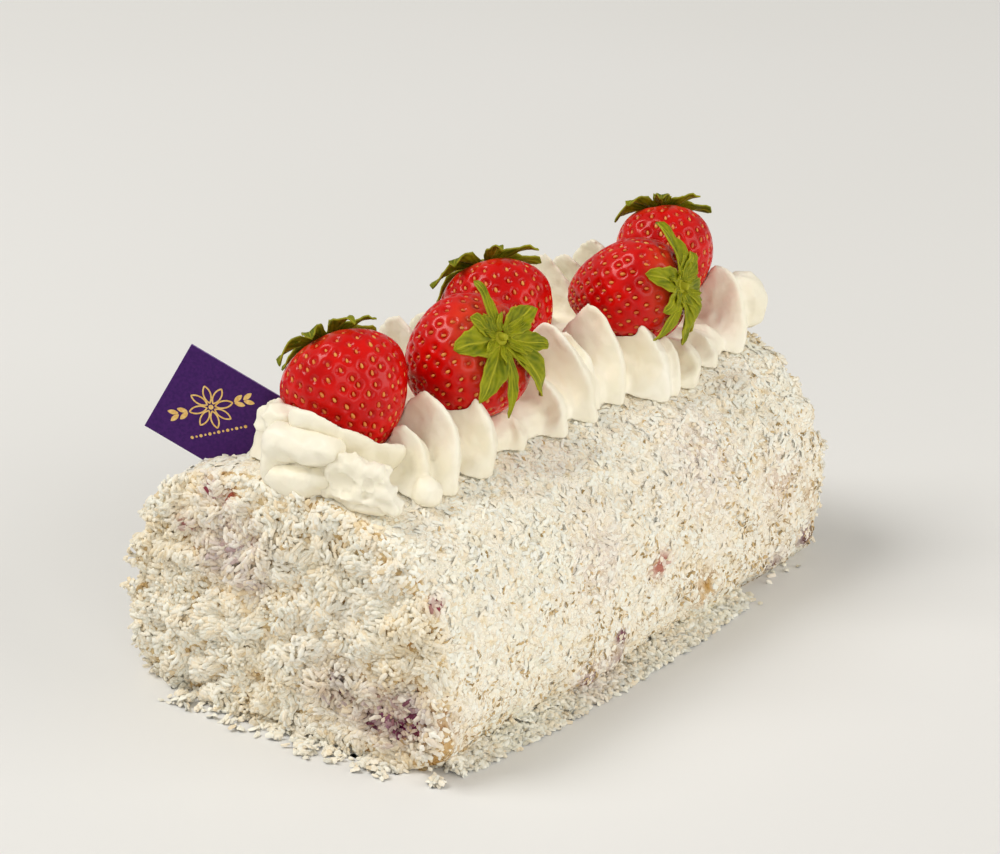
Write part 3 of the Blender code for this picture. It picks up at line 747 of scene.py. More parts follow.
def makeCrumbs():
    # fallen shreds: a bank along the front foot, a sprinkle at the near end and a few small lumps
    draw = np.random.default_rng(crumbs["seed"])
    bank = roll["bank"]
    share = draw.beta(1.1, 1.1, crumbs["bankCount"])
    x = bank["start"] + share * (bank["end"] - bank["start"] + crumbs["bankOver"] * mm)
    least, more = crumbs["bankReach"]
    reach = (least + more * np.sin(np.pi * np.clip(share, 0.02, 0.98)) ** 0.5) * mm
    out = draw.beta(1.0, 1.5, len(x))
    y = crumbs["bankFoot"] * mm - out * reach
    z = draw.uniform(0, 1, len(x)) * np.clip(1 - out, 0, 1) * crumbs["bankHeight"] * mm
    places = [np.column_stack((x, y, z))]
    count, (foot, away) = crumbs["endCount"], crumbs["endFoot"]
    y = draw.uniform(*crumbs["endSpread"], count) * mm
    x = foot * mm - draw.beta(1.0, 2.4, count) * away * mm
    places.append(np.column_stack((x, y, draw.uniform(0, 0.8, count) * mm)))
    count = crumbs["looseCount"]
    turn, away = draw.uniform(0, math.tau, count), 1 + draw.beta(1, 3, count) * 0.13
    ring = [np.sign(part) * np.abs(part) ** 0.5 * radius * mm * away
            for part, radius in zip((np.cos(turn), np.sin(turn)), crumbs["looseRing"])]
    places.append(np.column_stack((*ring, np.zeros(count))))
    for centreX, centreY, radius in crumbs["lumps"]:
        ball = unit(draw.normal(size=(crumbs["lumpCount"], 3))) * radius * mm
        ball *= draw.uniform(0.3, 1, (len(ball), 1))
        ball[:, 2] = np.abs(ball[:, 2])
        places.append(ball + np.array((centreX * mm, centreY * mm, 0)))
    points = np.vstack(places)
    normals = unit(np.array((0, 0, 1.0)) + 0.35 * draw.normal(size=points.shape))
    colours = shredColours(draw, points, shreds["chances"]["fallen"], 0.5)
    strewShreds("fallenShreds", coconut, draw, points, normals, "fallen", colours)


makeCrumbs()
print("fallen shreds made")


berries = {  # centre in millimetres, direction of the stem, width and length in millimetres
    1: ((-59.8, -3.2, 79.6), (0.22, 0.65, 0.73), 32.0, 30.0),
    2: ((-27.0, -11.5, 80.0), (-0.11, -0.81, 0.58), 32.0, 34.0),
    3: ((3.5, 0.2, 80.0), (0.33, 0.60, 0.73), 30.0, 30.0),
    4: ((36.8, -15.0, 81.5), (0.17, -0.96, 0.24), 28.0, 33.0),
    5: ((65.9, -7.0, 80.8), (0.48, 0.43, 0.76), 27.0, 29.0),
}
berryLook = {
    "taper": 0.27,
    "seedSpacing": 3.65 * mm,
    "seedSize": (0.85 * mm, 1.4 * mm, 0.65 * mm),
    "seedSizes": (0.8, 1.12),
    "seedSink": 0.5 * mm,
    "bareTop": 0.34,    # radians round the stem without seeds
    "scatter": (0.03, 0.06),
    "pitReach": 0.88 * mm,
    "pitDepth": 0.8 * mm,
    "unevenness": (9 * mm, 0.45 * mm),
    "placeSeed": 40,
    "sizeSeed": 60,
    "block": 8000,      # points that are set against the seeds at once
}


def stemFrame(stem):
    up = Vector(stem).normalized()
    level = Vector((0, 0, 1)).cross(up).normalized()
    return Matrix((level, up.cross(level), up)).transposed().to_4x4()


def berryPlace(number):
    return Matrix.Translation(Vector(berries[number][0]) * mm) @ stemFrame(berries[number][1])


def onRoll(number, places):
    matrix = np.array(berryPlace(number))
    return places @ matrix[:3, :3].T + matrix[:3, 3]


def berryPoint(polar, turn, width, length, out=0.0):
    taper = berryLook["taper"]
    side = math.sin(polar) * (1 + taper * math.cos(polar)) / (1 + taper * 0.25)
    along = math.cos(polar) - 0.10 * math.exp(-((polar / 0.35) ** 2))
    reach = side * width / 2 + out * math.sin(polar)
    height = along * length / 2 + out * math.cos(polar)
    return Vector((reach * math.cos(turn), reach * math.sin(turn), height))


def berryShape(number, level, grow=0.0):
    width, length = berries[number][2] * mm, berries[number][3] * mm
    bm = bmesh.new()
    bmesh.ops.create_icosphere(bm, subdivisions=level, radius=1)
    for vertex in bm.verts:
        polar = math.acos(min(max(vertex.co.z, -1), 1))
        turn = math.atan2(vertex.co.y, vertex.co.x)
        vertex.co = berryPoint(polar, turn, width, length, grow)
    return bm


def seedPlaces(number):
    # a spiral from stem to tip, a little closer towards the tip
    width, length = berries[number][2] * mm, berries[number][3] * mm
    draw = random.Random(berryLook["placeSeed"] + number)
    count = int(math.pi * width * length / (berryLook["seedSpacing"] ** 2 * 0.87))
    down, around = berryLook["scatter"]
    places = []
    for at in range(count):
        share = (at + 0.5) / count
        polar = math.acos(1 - 2 * share ** 0.97) + draw.uniform(-down, down)
        turn = at * goldenTurn + draw.uniform(-around, around)
        if polar > berryLook["bareTop"]:
            places.append((min(polar, math.pi), turn))
    return places


def fleshMaterial():
    # ripe strawberry flesh under a thin wet skin: deep red, light passes a little way in
    material, tree, shader, place = startMaterial("ripeStrawberry", {
        "Roughness": 0.22, "IOR": 1.43, "Specular IOR Level": 0.32,
        "Subsurface Weight": 0.15, "Subsurface Radius": (1.0, 0.22, 0.12), "Subsurface Scale": 2.2 * mm,
    })
    pit = addNode(tree, "Attribute", {}, attribute_name="pit").outputs["Fac"]
    shoulder = addNode(tree, "Attribute", {}, attribute_name="shoulder").outputs["Fac"]
    patches = addNode(tree, "TexNoise", {"Vector": place, "Scale": perMm(7), "Detail": 3})
    base = addNode(tree, "ValToRGB", {"Fac": patches}, stops=[(0.35, "BE0403"), (0.65, "D60E06")])
    # painted shade: the flesh is darker in the pits round the seeds
    shadedPit = addNode(tree, "Mix", {0: pit, 6: base, 7: rgba("A80602")}, data_type="RGBA")
    ripe = addNode(tree, "Mix", {0: shoulder, 6: shadedPit, 7: rgba("DA5A33")}, data_type="RGBA")
    skin = addNode(tree, "TexNoise", {"Vector": place, "Scale": perMm(0.7), "Detail": 2})
    bump = addNode(tree, "Bump", {"Height": skin, "Strength": 0.18, "Distance": 0.1 * mm})
    wire(tree, shader, {"Base Color": ripe, "Normal": bump})
    return material


def seedMaterial():
    # dry yellow achenes, some still greenish, with a dull gleam
    stops = [(0.35, "C45C1E"), (0.5, "E08438"), (0.65, "E2A04A")]
    return grainedMaterial("strawberrySeed", {"Roughness": 0.38, "IOR": 1.45}, 3, 2, stops, (0.2, 0.1))


def makeFlesh(number, material, seeds):
    piece = pieceFrom(berryShape(number, 7), f"strawberryFlesh{number}", material)
    mesh = piece.data
    places, slopes = vertexArray(mesh), vertexArray(mesh, "normal")
    seedPoints = np.array([seed[0] for seed in seeds])
    nearest = np.full(len(places), 1.0)
    for start in range(0, len(places), berryLook["block"]):
        block = slice(start, start + berryLook["block"])
        nearest[block] = np.linalg.norm(places[block, None] - seedPoints[None], axis=2).min(axis=1)
    pit = np.exp(-(nearest / berryLook["pitReach"]) ** 2)
    spacing, depth = berryLook["unevenness"]
    uneven = noiseAt(places, spacing, (number, 0, 0))
    places = places + slopes * (uneven * depth - pit * berryLook["pitDepth"])[:, None]
    along = places[:, 2] / (berries[number][3] * mm / 2)
    mesh.vertices.foreach_set("co", onRoll(number, places).ravel())
    mesh.update()
    # this share darkens the flesh in the seed pits, as painted shade
    setShare(mesh, "pit", pit * 0.55)
    setShare(mesh, "shoulder", np.clip((along - 0.62) * 1.6, 0, 0.55))
    present(piece, "strawberry_flesh", f"strawberry_{number}")


def makeSeeds(number, material, seeds):
    # one drop-shaped seed, set upright in each pit with its point towards the stem
    bm = bmesh.new()
    bmesh.ops.create_uvsphere(bm, u_segments=7, v_segments=5, radius=0.5)
    for vertex in bm.verts:
        vertex.co.x *= berryLook["seedSize"][0] * (1 - 0.55 * vertex.co.z)
        vertex.co.y *= berryLook["seedSize"][2]
        vertex.co.z *= berryLook["seedSize"][1]
    shape, faces = meshArrays(bm)
    draw = random.Random(berryLook["sizeSeed"] + number)
    places = []
    for point, outward, along in seeds:
        size = draw.uniform(*berryLook["seedSizes"])
        turned = np.array(Matrix((along.cross(outward), outward, along)).transposed())
        middle = np.array(point - outward * berryLook["seedSink"])
        places.append(onRoll(number, (shape * size) @ turned.T + middle))
    present(repeatedPiece(f"strawberrySeeds{number}", np.array(places), faces, material), "strawberry_flesh")


def makeBerries():
    flesh, seed = fleshMaterial(), seedMaterial()
    for number, (_, _, width, length) in berries.items():
        seeds = []
        for polar, turn in seedPlaces(number):
            point = berryPoint(polar, turn, width * mm, length * mm)
            lower = berryPoint(min(polar + 0.03, math.pi), turn, width * mm, length * mm)
            along = (point - lower).normalized()
            across = Vector((-math.sin(turn), math.cos(turn), 0))
            outward = across.cross(along).normalized()
            if outward.dot(point) < 0:
                outward = -outward
            seeds.append((point, outward, along))
        makeFlesh(number, flesh, seeds)
        makeSeeds(number, seed, seeds)


makeBerries()
print("strawberries made")


# A calyx is leaf strips round a small hub, with the end of the stem.
sepals = {  # direction round the stem in degrees, length and width in millimetres
    2: [(84, 14, 3), (22, 12, 6), (-22, 12, 5), (-58, 17, 6), (-98, 18, 3), (-132, 15, 6), (177, 12, 7),
        (134, 8, 5)],
    4: [(73, 16.5, 7), (150, 13, 6), (-164, 10, 5), (-135, 16, 3), (-92, 14, 6), (-62, 15, 5), (-25, 14, 6),
        (40, 9, 5)],
}
leafLook = {
    "lift": 0.9 * mm,
    "curl": {1: 1.3, 2: 2.8, 3: 3.0, 4: 2.8, 5: 2.6},   # how far the tips stand off, in millimetres
    "wave": 0.7 * mm,
    "small": {"counts": {1: 4, 2: 9, 3: 7, 4: 9, 5: 7}, "length": (4.5, 7.5), "width": 2.2, "curl": (1.4, 3.4)},
    "thickness": 0.4 * mm,
    "count": 8,
    "lengths": {1: (11, 14), 3: (12, 15), 5: (9.5, 12)},
    "widths": (4, 6),           # of a leaf 14 mm long
    "breadth": 1.16,            # leaves are this much wider than listed
    "start": 1.6 * mm,          # how far from the middle a leaf starts
    "dome": (2.1 * mm, 2.1 * mm, 1.1 * mm, 1),
    "stub": {"radius1": 1.15 * mm, "radius2": 0.8 * mm, "depth": 2.6 * mm},
    "seed": 20,
    "curlSeed": 80,
}


def sepalsOf(number):
    if number in sepals:
        return sepals[number]
    draw = random.Random(leafLook["seed"] + number)
    step = 360 / leafLook["count"]
    leaves = []
    for at in range(leafLook["count"]):
        turn, leafLength = at * step + draw.uniform(-7, 7), draw.uniform(*leafLook["lengths"][number])
        leaves.append((turn, leafLength, draw.uniform(*leafLook["widths"]) * leafLength / 14))
    return leaves


def leafWidth(share):
    # drawn in at the hub, widest in the middle, with a short point
    rise = smoothStep(share / 0.42) * 0.5 + 0.5
    return rise * (1 - max(share - 0.42, 0) / 0.58) ** 0.5 if share < 1 else 0


def leafPoint(number, turn, distance, sideways, share, curl):
    width, length = berries[number][2] * mm, berries[number][3] * mm
    polar = distance / (0.25 * (width + length))
    lift = leafLook["lift"] + curl * share ** 2.4
    lift += leafLook["wave"] * math.sin(5 * share + 7 * turn) * share
    lift += abs(sideways) * 0.42 + 0.5 * mm * math.sin(11 * share + sideways * 1100) * share
    over = berryPoint(polar, turn, width, length, lift)
    return over + Vector((-math.sin(turn), math.cos(turn), 0)) * sideways


def addLeaf(bm, uvLayer, number, turn, length, width, curl, rows=12, columns=6):
    made = bmesh.ops.create_grid(bm, x_segments=columns, y_segments=rows, size=1)["verts"]
    faces = {face for vertex in made for face in vertex.link_faces}
    for face in faces:
        for loop in face.loops:
            loop[uvLayer].uv = ((loop.vert.co.x + 1) / 2, (loop.vert.co.y + 1) / 2)
    for vertex in made:
        across, share = vertex.co.x, (vertex.co.y + 1) / 2
        notch = 1 + 0.07 * math.sin(share * 26 + turn * 5) * (0.2 < share < 0.9)
        sideways = across * width / 2 * leafWidth(share) * notch
        sideways += 0.6 * mm * math.sin(3 * share + 5 * turn) * share
        distance = leafLook["start"] + share * (length - leafLook["start"])
        vertex.co = leafPoint(number, turn, distance, sideways, share, curl)


def leafMaterial(name, light, dark, edge):
    # fresh strawberry leaf: soft gloss, lighter veins along it and a paler rim
    material, tree, shader, place = startMaterial(name, {
        "Roughness": 0.55, "IOR": 1.42, "Specular IOR Level": 0.2,
        "Subsurface Weight": 0.12, "Subsurface Radius": (0.5, 1.0, 0.15), "Subsurface Scale": 0.8 * mm,
    })
    leafPlace = addNode(tree, "SeparateXYZ", {"Vector": addNode(tree, "UVMap", {}, uv_map="leaf")})
    across = addNode(tree, "Math", {0: leafPlace.outputs["X"], 1: 0.5}, operation="SUBTRACT")
    half = addNode(tree, "Math", {0: across}, operation="ABSOLUTE")
    slant = addNode(tree, "Math", {0: half, 1: 1.6, 2: leafPlace.outputs["Y"]}, operation="MULTIPLY_ADD")
    stripes = addNode(tree, "Math", {0: half, 1: 62.0}, operation="MULTIPLY")
    fan = addNode(tree, "Math", {0: slant, 1: -22.0, 2: stripes}, operation="MULTIPLY_ADD")
    veins = addNode(tree, "Math", {0: fan}, operation="SINE")
    midrib = addNode(tree, "MapRange", {
        "Value": half, "From Min": 0.0, "From Max": 0.07, "To Min": 1.0, "To Max": 0.0,
    })
    mottle = addNode(tree, "TexNoise", {"Vector": place, "Scale": perMm(3.5), "Detail": 3})
    green = addNode(tree, "ValToRGB", {"Fac": mottle}, stops=[(0.36, dark), (0.62, light)])
    veined = addNode(tree, "Math", {0: veins, 1: 0.12, 2: 0.12}, operation="MULTIPLY_ADD")
    ribbed = addNode(tree, "Math", {0: veined, 1: midrib}, operation="MAXIMUM")
    withVeins = addNode(tree, "Mix", {0: ribbed, 6: green, 7: rgba(edge)}, data_type="RGBA")
    rim = addNode(tree, "MapRange", {
        "Value": half, "From Min": 0.44, "From Max": 0.5, "To Min": 0.0, "To Max": 0.55,
    })
    leaf = addNode(tree, "Mix", {0: rim, 6: withVeins, 7: rgba(edge)}, data_type="RGBA")
    bump = addNode(tree, "Bump", {"Height": veins, "Strength": 0.35, "Distance": 0.15 * mm})
    wire(tree, shader, {"Base Color": leaf, "Normal": bump})
    return material


def makeCalyx(number, material):
    width, length = berries[number][2] * mm, berries[number][3] * mm
    draw = random.Random(leafLook["curlSeed"] + number)
    bm = bmesh.new()
    uvLayer = bm.loops.layers.uv.new("leaf")
    for turn, leafLength, breadth in sepalsOf(number):
        curl = leafLook["curl"][number] * draw.uniform(0.75, 1.25) * mm
        breadth *= leafLook["breadth"] * mm
        addLeaf(bm, uvLayer, number, math.radians(turn), leafLength * mm, breadth, curl)
    small = leafLook["small"]
    count = small["counts"][number]
    for at in range(count):  # the outer leaves that stand up round the hub
        turn = at * math.tau / count + draw.uniform(-0.3, 0.3)
        size, curl = draw.uniform(*small["length"]) * mm, draw.uniform(*small["curl"]) * mm
        addLeaf(bm, uvLayer, number, turn, size, small["width"] * mm, curl, rows=6, columns=2)
    bmesh.ops.remove_doubles(bm, verts=bm.verts[:], dist=0.01 * mm)
    bmesh.ops.solidify(bm, geom=bm.faces[:], thickness=leafLook["thickness"])
    top = berryPoint(0, 0, width, length, leafLook["lift"]).z
    dome = Matrix.Translation((0, 0, top - 0.2 * mm)) @ Matrix.Diagonal(leafLook["dome"])
    bmesh.ops.create_uvsphere(bm, u_segments=20, v_segments=10, radius=1, matrix=dome)
    stub = Matrix.Translation((0, 0, top + 1.1 * mm)) @ Matrix.Rotation(0.35, 4, "X")
    made = bmesh.ops.create_cone(bm, cap_ends=True, segments=14, matrix=stub, **leafLook["stub"])["verts"]
    rimEdges = list({edge for vertex in made for edge in vertex.link_edges if edge.calc_face_angle(0) > 1})
    bmesh.ops.bevel(bm, geom=rimEdges, offset=0.3 * mm, segments=2, profile=0.5, affect="EDGES", material=-1)
    bmesh.ops.recalc_face_normals(bm, faces=bm.faces[:])
    bm.transform(berryPlace(number))
    present(pieceFrom(bm, f"calyxLeaves{number}", material), "calyx_leaf", f"calyx_{number}")


def makeCalyxes():
    # painted light and shade: one leaf in a lighter copy for calyxes 2 and 4 and a darker copy for the others
    bright = leafMaterial("litLeaf", "8A8E06", "5B6904", "B7B22C")
    shaded = leafMaterial("shadedLeaf", "7F8208", "4F5C05", "A8A22E")
    for number in berries:
        makeCalyx(number, bright if number in (2, 4) else shaded)


makeCalyxes()
print("calyxes made")


# The cream is a bed with a ruffle of standing folds on both edges.
cream = {
    "bedSize": (161 * mm, 44 * mm, 17 * mm),
    "bedCentre": (2 * mm, -4 * mm, 61 * mm),
    "footHeight": 60 * mm,
    "foldDrop": 9 * mm,
    "foldSpread": 13 * mm,
    "thinning": 0.5,
    "bow": 0.55,            # of a fold's thickness
    "voxel": 0.62 * mm,
    "smoothings": 2,
    "rippleSizes": (6 * mm, 2.2 * mm),
    "fineRipple": 0.25,
    "gap": 0.4 * mm,
    "nearFolds": [  # foot x and y, peak x, y and z, thickness, in millimetres
        (-62, -28, -59, -19, 75, 11), (-54, -31, -50, -18, 80.5, 13), (-40, -31, -39, -22, 78, 12),
        (-24, -28, -25, -20, 69, 12), (-9, -30, -12, -21, 75, 12), (4, -30, -4, -19, 85, 12),
        (9, -27, 6, -18, 80, 9), (17, -29, 16, -18, 84, 11), (30, -34, 26, -22, 79.5, 14),
        (35, -34, 35, -21, 76, 10), (43, -34, 44, -23, 69, 13), (56, -31, 55, -22, 68, 12),
        (62, -28, 61, -21, 67, 10), (69, -30.5, 73, -19, 79.5, 13),
    ],
    "cornerFolds": [(-71, 19, -70, 11, 78, 11), (-54, 19, -53, 11, 72, 10)],
    "lumps": [  # centre and size in millimetres, and how bumpy
        (-72, -2, 66.5, 15, 17, 12, 0.1), (-72, -14, 65, 13, 20, 10, 0.1), (-69, 6, 67, 14, 18, 14, 0.15),
        (-75.5, 5.5, 75.5, 9, 11, 10, 0.4), (-73, 0.5, 77, 8, 8, 7, 0.4),
        (-62, -29, 61.5, 8, 7, 8, 0.2), (-76, -20, 62, 9, 20, 6, 0.2),
        (78.5, -24, 69.5, 13, 13, 16, 0.15), (80, -15, 68, 13, 17, 13, 0.15),
    ],
    "lobe": [
        (-79, -7, 73.2, 11, 18, 8.2, 0.12), (-79, 0.5, 71.6, 10, 12, 11, 0.12),
        (-78, -12.5, 73.6, 8, 7, 6, 0.1), (-76.5, -5, 68, 8, 20, 8, 0.0), (-79.3, 3, 67.2, 9, 7, 13, 0.1),
    ],
    "ripples": {"whole": 0.6, "lobe": 1.0, "underLobe": 1.0, "tear": 0.9, "strip": 1.0},   # in millimetres
    "stripFlatness": 0.32,
    "scoops": [(-83.5, -19, 67.5, 8, 11, 7), (-82.5, -26, 68.5, 7, 5, 6), (-83.8, -5.5, 68.6, 6, 13, 1.8)],
    "underLobe": [(-79.4, -3.5, 64.6, 11, 19, 9.4, 0.14), (-79, -10, 66, 8.5, 9, 6, 0.2)],
    "tear": [
        (-77.5, -14.5, 68.8, 7.5, 10, 7.5, 0.6), (-77.5, -20, 70.3, 7, 9, 7, 0.7),
        (-76.5, -25, 69.2, 8, 7, 7, 0.7), (-77.5, -17, 64.8, 8.5, 15, 6.5, 0.7),
        (-76, -25.5, 64.4, 8, 9, 6.5, 0.7), (-79, -12.5, 63.4, 5, 6, 4.5, 0.6),
        (-76, -29.5, 62.5, 5, 5, 4.5, 0.7), (-79, -20, 62.2, 4, 6, 4, 0.7), (-77, -28.5, 66.5, 5, 4, 4, 0.7),
    ],
    "strip": [(-78.2, -3.6, 78.6, 3.4), (-76.8, -9.4, 77.2, 3.9), (-74.2, -13.8, 74.8, 3.7),
              (-70.6, -16.6, 71.4, 4.6), (-66.2, -17.8, 68.8, 5.4), (-63.2, -18.2, 67.8, 5.0)],
    "far": {"start": -42, "step": 12.4, "count": 10, "foot": 27, "peak": 14, "height": 81.5,
            "thickness": 12, "seed": 5},
}


def addFold(bm, fold):
    # a fin whose crest runs from its foot up to a peak; one face is hollow, the other full
    footX, footY, peakX, peakY, peakZ, thickness = (value * mm for value in fold)
    outward = 1 if footY > peakY else -1
    turn = Matrix.Rotation(math.pi / 2, 4, "Y")
    made = bmesh.ops.create_uvsphere(bm, u_segments=32, v_segments=16, radius=1, matrix=turn)["verts"]
    phase = footX / mm
    for vertex in made:
        across, out, up = vertex.co.x, vertex.co.y * outward, vertex.co.z
        middling = math.hypot(out, up)
        flat = math.copysign(abs(across) ** 1.25, across)
        reach = abs(footY - peakY) if out > 0 else cream["foldSpread"]
        rise = peakZ - cream["footHeight"] if up > 0 else cream["foldDrop"]
        baseX = footX - 2 * mm
        x = baseX + flat * thickness / 2 * (1 - cream["thinning"] * max(up, 0))
        x += (peakX - baseX) * max(up, 0) + (footX - baseX) * max(out, 0)
        if up > 0:
            x += cream["bow"] * thickness * (1 - middling ** 2) * min(up * 3, 1)
            x += 0.35 * mm * math.sin(7 * math.atan2(up, out) + phase) * middling
        height = up * (1 + 0.03 * math.exp(-(out / 0.2) ** 2)) if up > 0 else up
        if out < 0 < up:
            height *= 1 - 0.25 * -out
        vertex.co = Vector((x, peakY + outward * out * reach, cream["footHeight"] + height * rise))


def addLump(bm, x, y, z, length, width, height, roughness=0.0):
    centre, size = Vector((x, y, z)) * mm, Vector((length, width, height)) * mm
    made = bmesh.ops.create_uvsphere(bm, u_segments=28, v_segments=16, radius=0.5)["verts"]
    for vertex in made:
        bumpy = 1 + roughness * noise.noise(vertex.co * 5 + centre / (9 * mm))
        vertex.co = centre + Vector(part * side * bumpy for part, side in zip(vertex.co, size))


def addRibbon(bm, path, flatness, outwardFrom):
    # a flattened band of cream along points with a radius, laid round a berry
    for (*start, startRadius), (*end, endRadius) in zip(path, path[1:]):
        start, end = Vector(start), Vector(end)
        steps = max(2, int((end - start).length / (startRadius * 0.3)))
        for step in range(steps + 1):
            share = step / steps
            centre = start.lerp(end, share)
            radius = (startRadius * (1 - share) + endRadius * share) * mm
            turned = (centre - outwardFrom).to_track_quat("X", "Z").to_matrix().to_4x4()
            size = Matrix.Diagonal((radius * flatness, radius, radius, 1))
            place = Matrix.Translation(centre * mm) @ turned @ size
            bmesh.ops.create_icosphere(bm, subdivisions=3, radius=1, matrix=place)


def farFolds():
    far = cream["far"]
    draw = random.Random(far["seed"])
    folds = []
    for number in range(far["count"]):
        x = far["start"] + number * far["step"] + draw.uniform(-1.5, 1.5)
        lean = draw.uniform(2, 6)
        height = far["height"] + draw.uniform(-3, 3)
        thickness = far["thickness"] * draw.uniform(0.85, 1.1)
        folds.append((x, far["foot"], x - lean, far["peak"], height, thickness))
    return folds


def addBed(bm):
    made = bmesh.ops.create_uvsphere(bm, u_segments=40, v_segments=20, radius=1)["verts"]
    turn = Matrix.Rotation(math.pi / 2, 3, "Y")
    for vertex in made:
        square = Vector(math.copysign(abs(value) ** 0.75, value) for value in turn @ vertex.co)
        size = Vector(cream["bedSize"]) / 2
        vertex.co = Vector(cream["bedCentre"]) + Vector(part * side for part, side in zip(square, size))


def creamMaterial():
    # whipped cream: dense and soft, a satin skin with small air bubbles, light glows through its edges
    material, tree, shader, place = startMaterial("whippedCream", {
        "Roughness": 0.42, "IOR": 1.42, "Specular IOR Level": 0.4,
        "Subsurface Weight": 0.16, "Subsurface Radius": (0.85, 0.95, 0.8), "Subsurface Scale": 1.2 * mm,
    })
    cloud = addNode(tree, "TexNoise", {"Vector": place, "Scale": perMm(14), "Detail": 2})
    tone = addNode(tree, "ValToRGB", {"Fac": cloud}, stops=[(0.3, "EFE8D1"), (0.7, "F8F3E3")])
    ripple = addNode(tree, "TexNoise", {"Vector": place, "Scale": perMm(3.2), "Detail": 4})
    bubbles = addNode(tree, "TexVoronoi", {"Vector": place, "Scale": perMm(0.9)})
    height = addNode(tree, "Math", {0: bubbles, 1: 0.12, 2: ripple}, operation="MULTIPLY_ADD")
    bump = addNode(tree, "Bump", {"Height": height, "Strength": 0.4, "Distance": 0.5 * mm})
    wire(tree, shader, {"Base Color": tone, "Normal": bump})
    return material


def creamShell(name, bm, material, cutters, ripples, node=()):
    # one soft closed skin over everything in the mesh, clear of the coat and the berries
    piece = pieceFrom(bm, name, material)
    remesh = piece.modifiers.new("Joined", "REMESH")
    remesh.mode = "VOXEL"
    remesh.voxel_size = cream["voxel"]
    remesh.use_smooth_shade = True
    applyModifiers(piece)
    bm = bmesh.new()
    bm.from_mesh(piece.data)
    axes = {"use_axis_x": True, "use_axis_y": True, "use_axis_z": True}
    for _ in range(cream["smoothings"]):
        bmesh.ops.smooth_vert(bm, verts=bm.verts[:], factor=0.5, **axes)
    bm.normal_update()
    broad, fine = cream["rippleSizes"]
    for vertex in bm.verts:
        ripple = ripples * noise.noise(vertex.co / broad) + cream["fineRipple"] * noise.noise(vertex.co / fine)
        vertex.co += vertex.normal * ripple * mm
    bm.to_mesh(piece.data)
    bm.free()
    for cutter in cutters:
        cut = piece.modifiers.new(cutter.name, "BOOLEAN")
        cut.operation = "DIFFERENCE"
        cut.solver = "MANIFOLD"
        cut.object = cutter
    applyModifiers(piece)
    piece.data.shade_smooth()
    present(piece, "whipped_cream", *node)


def makeCream():
    material, ripples = creamMaterial(), cream["ripples"]
    cutters = [makeCoat("coatSpace", material, 0, cream["gap"])]
    for number in berries:
        bm = berryShape(number, 4, cream["gap"])
        bm.transform(berryPlace(number))
        cutters.append(pieceFrom(bm, f"berrySpace{number}", material))
    bm = bmesh.new()
    addBed(bm)
    for fold in cream["nearFolds"] + cream["cornerFolds"] + farFolds():
        addFold(bm, fold)
    for sizes in cream["lumps"]:
        addLump(bm, *sizes)
    creamShell("whippedCream", bm, material, cutters, ripples["whole"], ["cream"])
    bm = bmesh.new()
    for scoop in cream["scoops"]:
        addLump(bm, *scoop)
    cutters.append(pieceFrom(bm, "creamScoops", material))
    # lobes lie on the rest in shells of their own, so that the creases between them stay sharp
    for part in ("lobe", "underLobe", "tear"):
        bm = bmesh.new()
        for sizes in cream[part]:
            addLump(bm, *sizes)
        creamShell(f"cream{part.title()}", bm, material, cutters, ripples[part])
    bm = bmesh.new()
    addRibbon(bm, cream["strip"], cream["stripFlatness"], Vector(berries[1][0]))
    creamShell("creamStrip", bm, material, cutters, ripples["strip"])
    for cutter in cutters:
        bpy.data.objects.remove(cutter, do_unlink=True)


makeCream()
print("cream made")


card = {
    "side": 25 * mm,
    "thickness": 0.6 * mm,
    "centre": (-71.8 * mm, 30 * mm, 71 * mm),
    "heading": -60.3,
    "turn": 15,
    "edge": 0.1 * mm,
    "foilHeight": 0.05 * mm,
    "foilGap": 0.005 * mm,
}
ornament = {  # sizes in millimetres
    "rise": 1.2,                # of the rosette's middle over the card's
    "petals": {"count": 8, "out": 3.3, "along": 2.4, "across": 1.1, "line": 0.38},
    "heart": 0.62,
    "leaves": {"out": (7.2, 9.6), "lean": (0.5, 0.45), "up": 0.75, "along": 1.35, "across": 0.6},
    "beads": {"each": 6, "down": 6.6, "step": 1.15, "large": 0.42, "small": 0.28},
}


def cardPlace():
    turned = Matrix.Rotation(math.radians(card["heading"]), 4, "Z") @ Matrix.Rotation(
        math.radians(45 - card["turn"]), 4, "Y")
    return Matrix.Translation(card["centre"]) @ turned


def cardMaterial():
    # coated card printed in solid purple: smooth, satin, with a faint fibre texture
    values = {"Roughness": 0.5, "IOR": 1.45, "Specular IOR Level": 0.2}
    return grainedMaterial("printedCard", values, 0.8, 3, [(0.35, "39155A"), (0.65, "461C66")], (0.15, 0.05))


def edgeMaterial():
    # cut edge of the board: unprinted fibre with ink drawn into it
    return grainedMaterial("cardEdge", {"Roughness": 0.8}, 0.6, 3, [(0.35, "5A3A86"), (0.65, "8A74A8")])


def foilMaterial():
    # hot-stamped gold foil: bright metal, slightly crushed by the card's grain
    values = {"Metallic": 1.0, "Roughness": 0.42}
    return grainedMaterial("goldFoil", values, 0.7, 2, [(0.3, "E0B060"), (0.7, "F6D690")], (0.25, 0.05))


def makeCard():
    bm = bmesh.new()
    bmesh.ops.create_cube(bm, size=1)
    bmesh.ops.scale(bm, verts=bm.verts[:], vec=(card["side"], card["thickness"], card["side"]))
    bmesh.ops.bevel(
        bm, geom=bm.edges[:], offset=card["edge"], segments=2, profile=0.5, affect="EDGES", material=-1)
    for face in bm.faces:
        face.material_index = 0 if abs(face.normal.y) > 0.9 else 1
    bm.transform(cardPlace())
    piece = pieceFrom(bm, "printedCard", cardMaterial(), smooth=False)
    piece.data.materials.append(edgeMaterial())
    present(piece, "printed_card", "card")


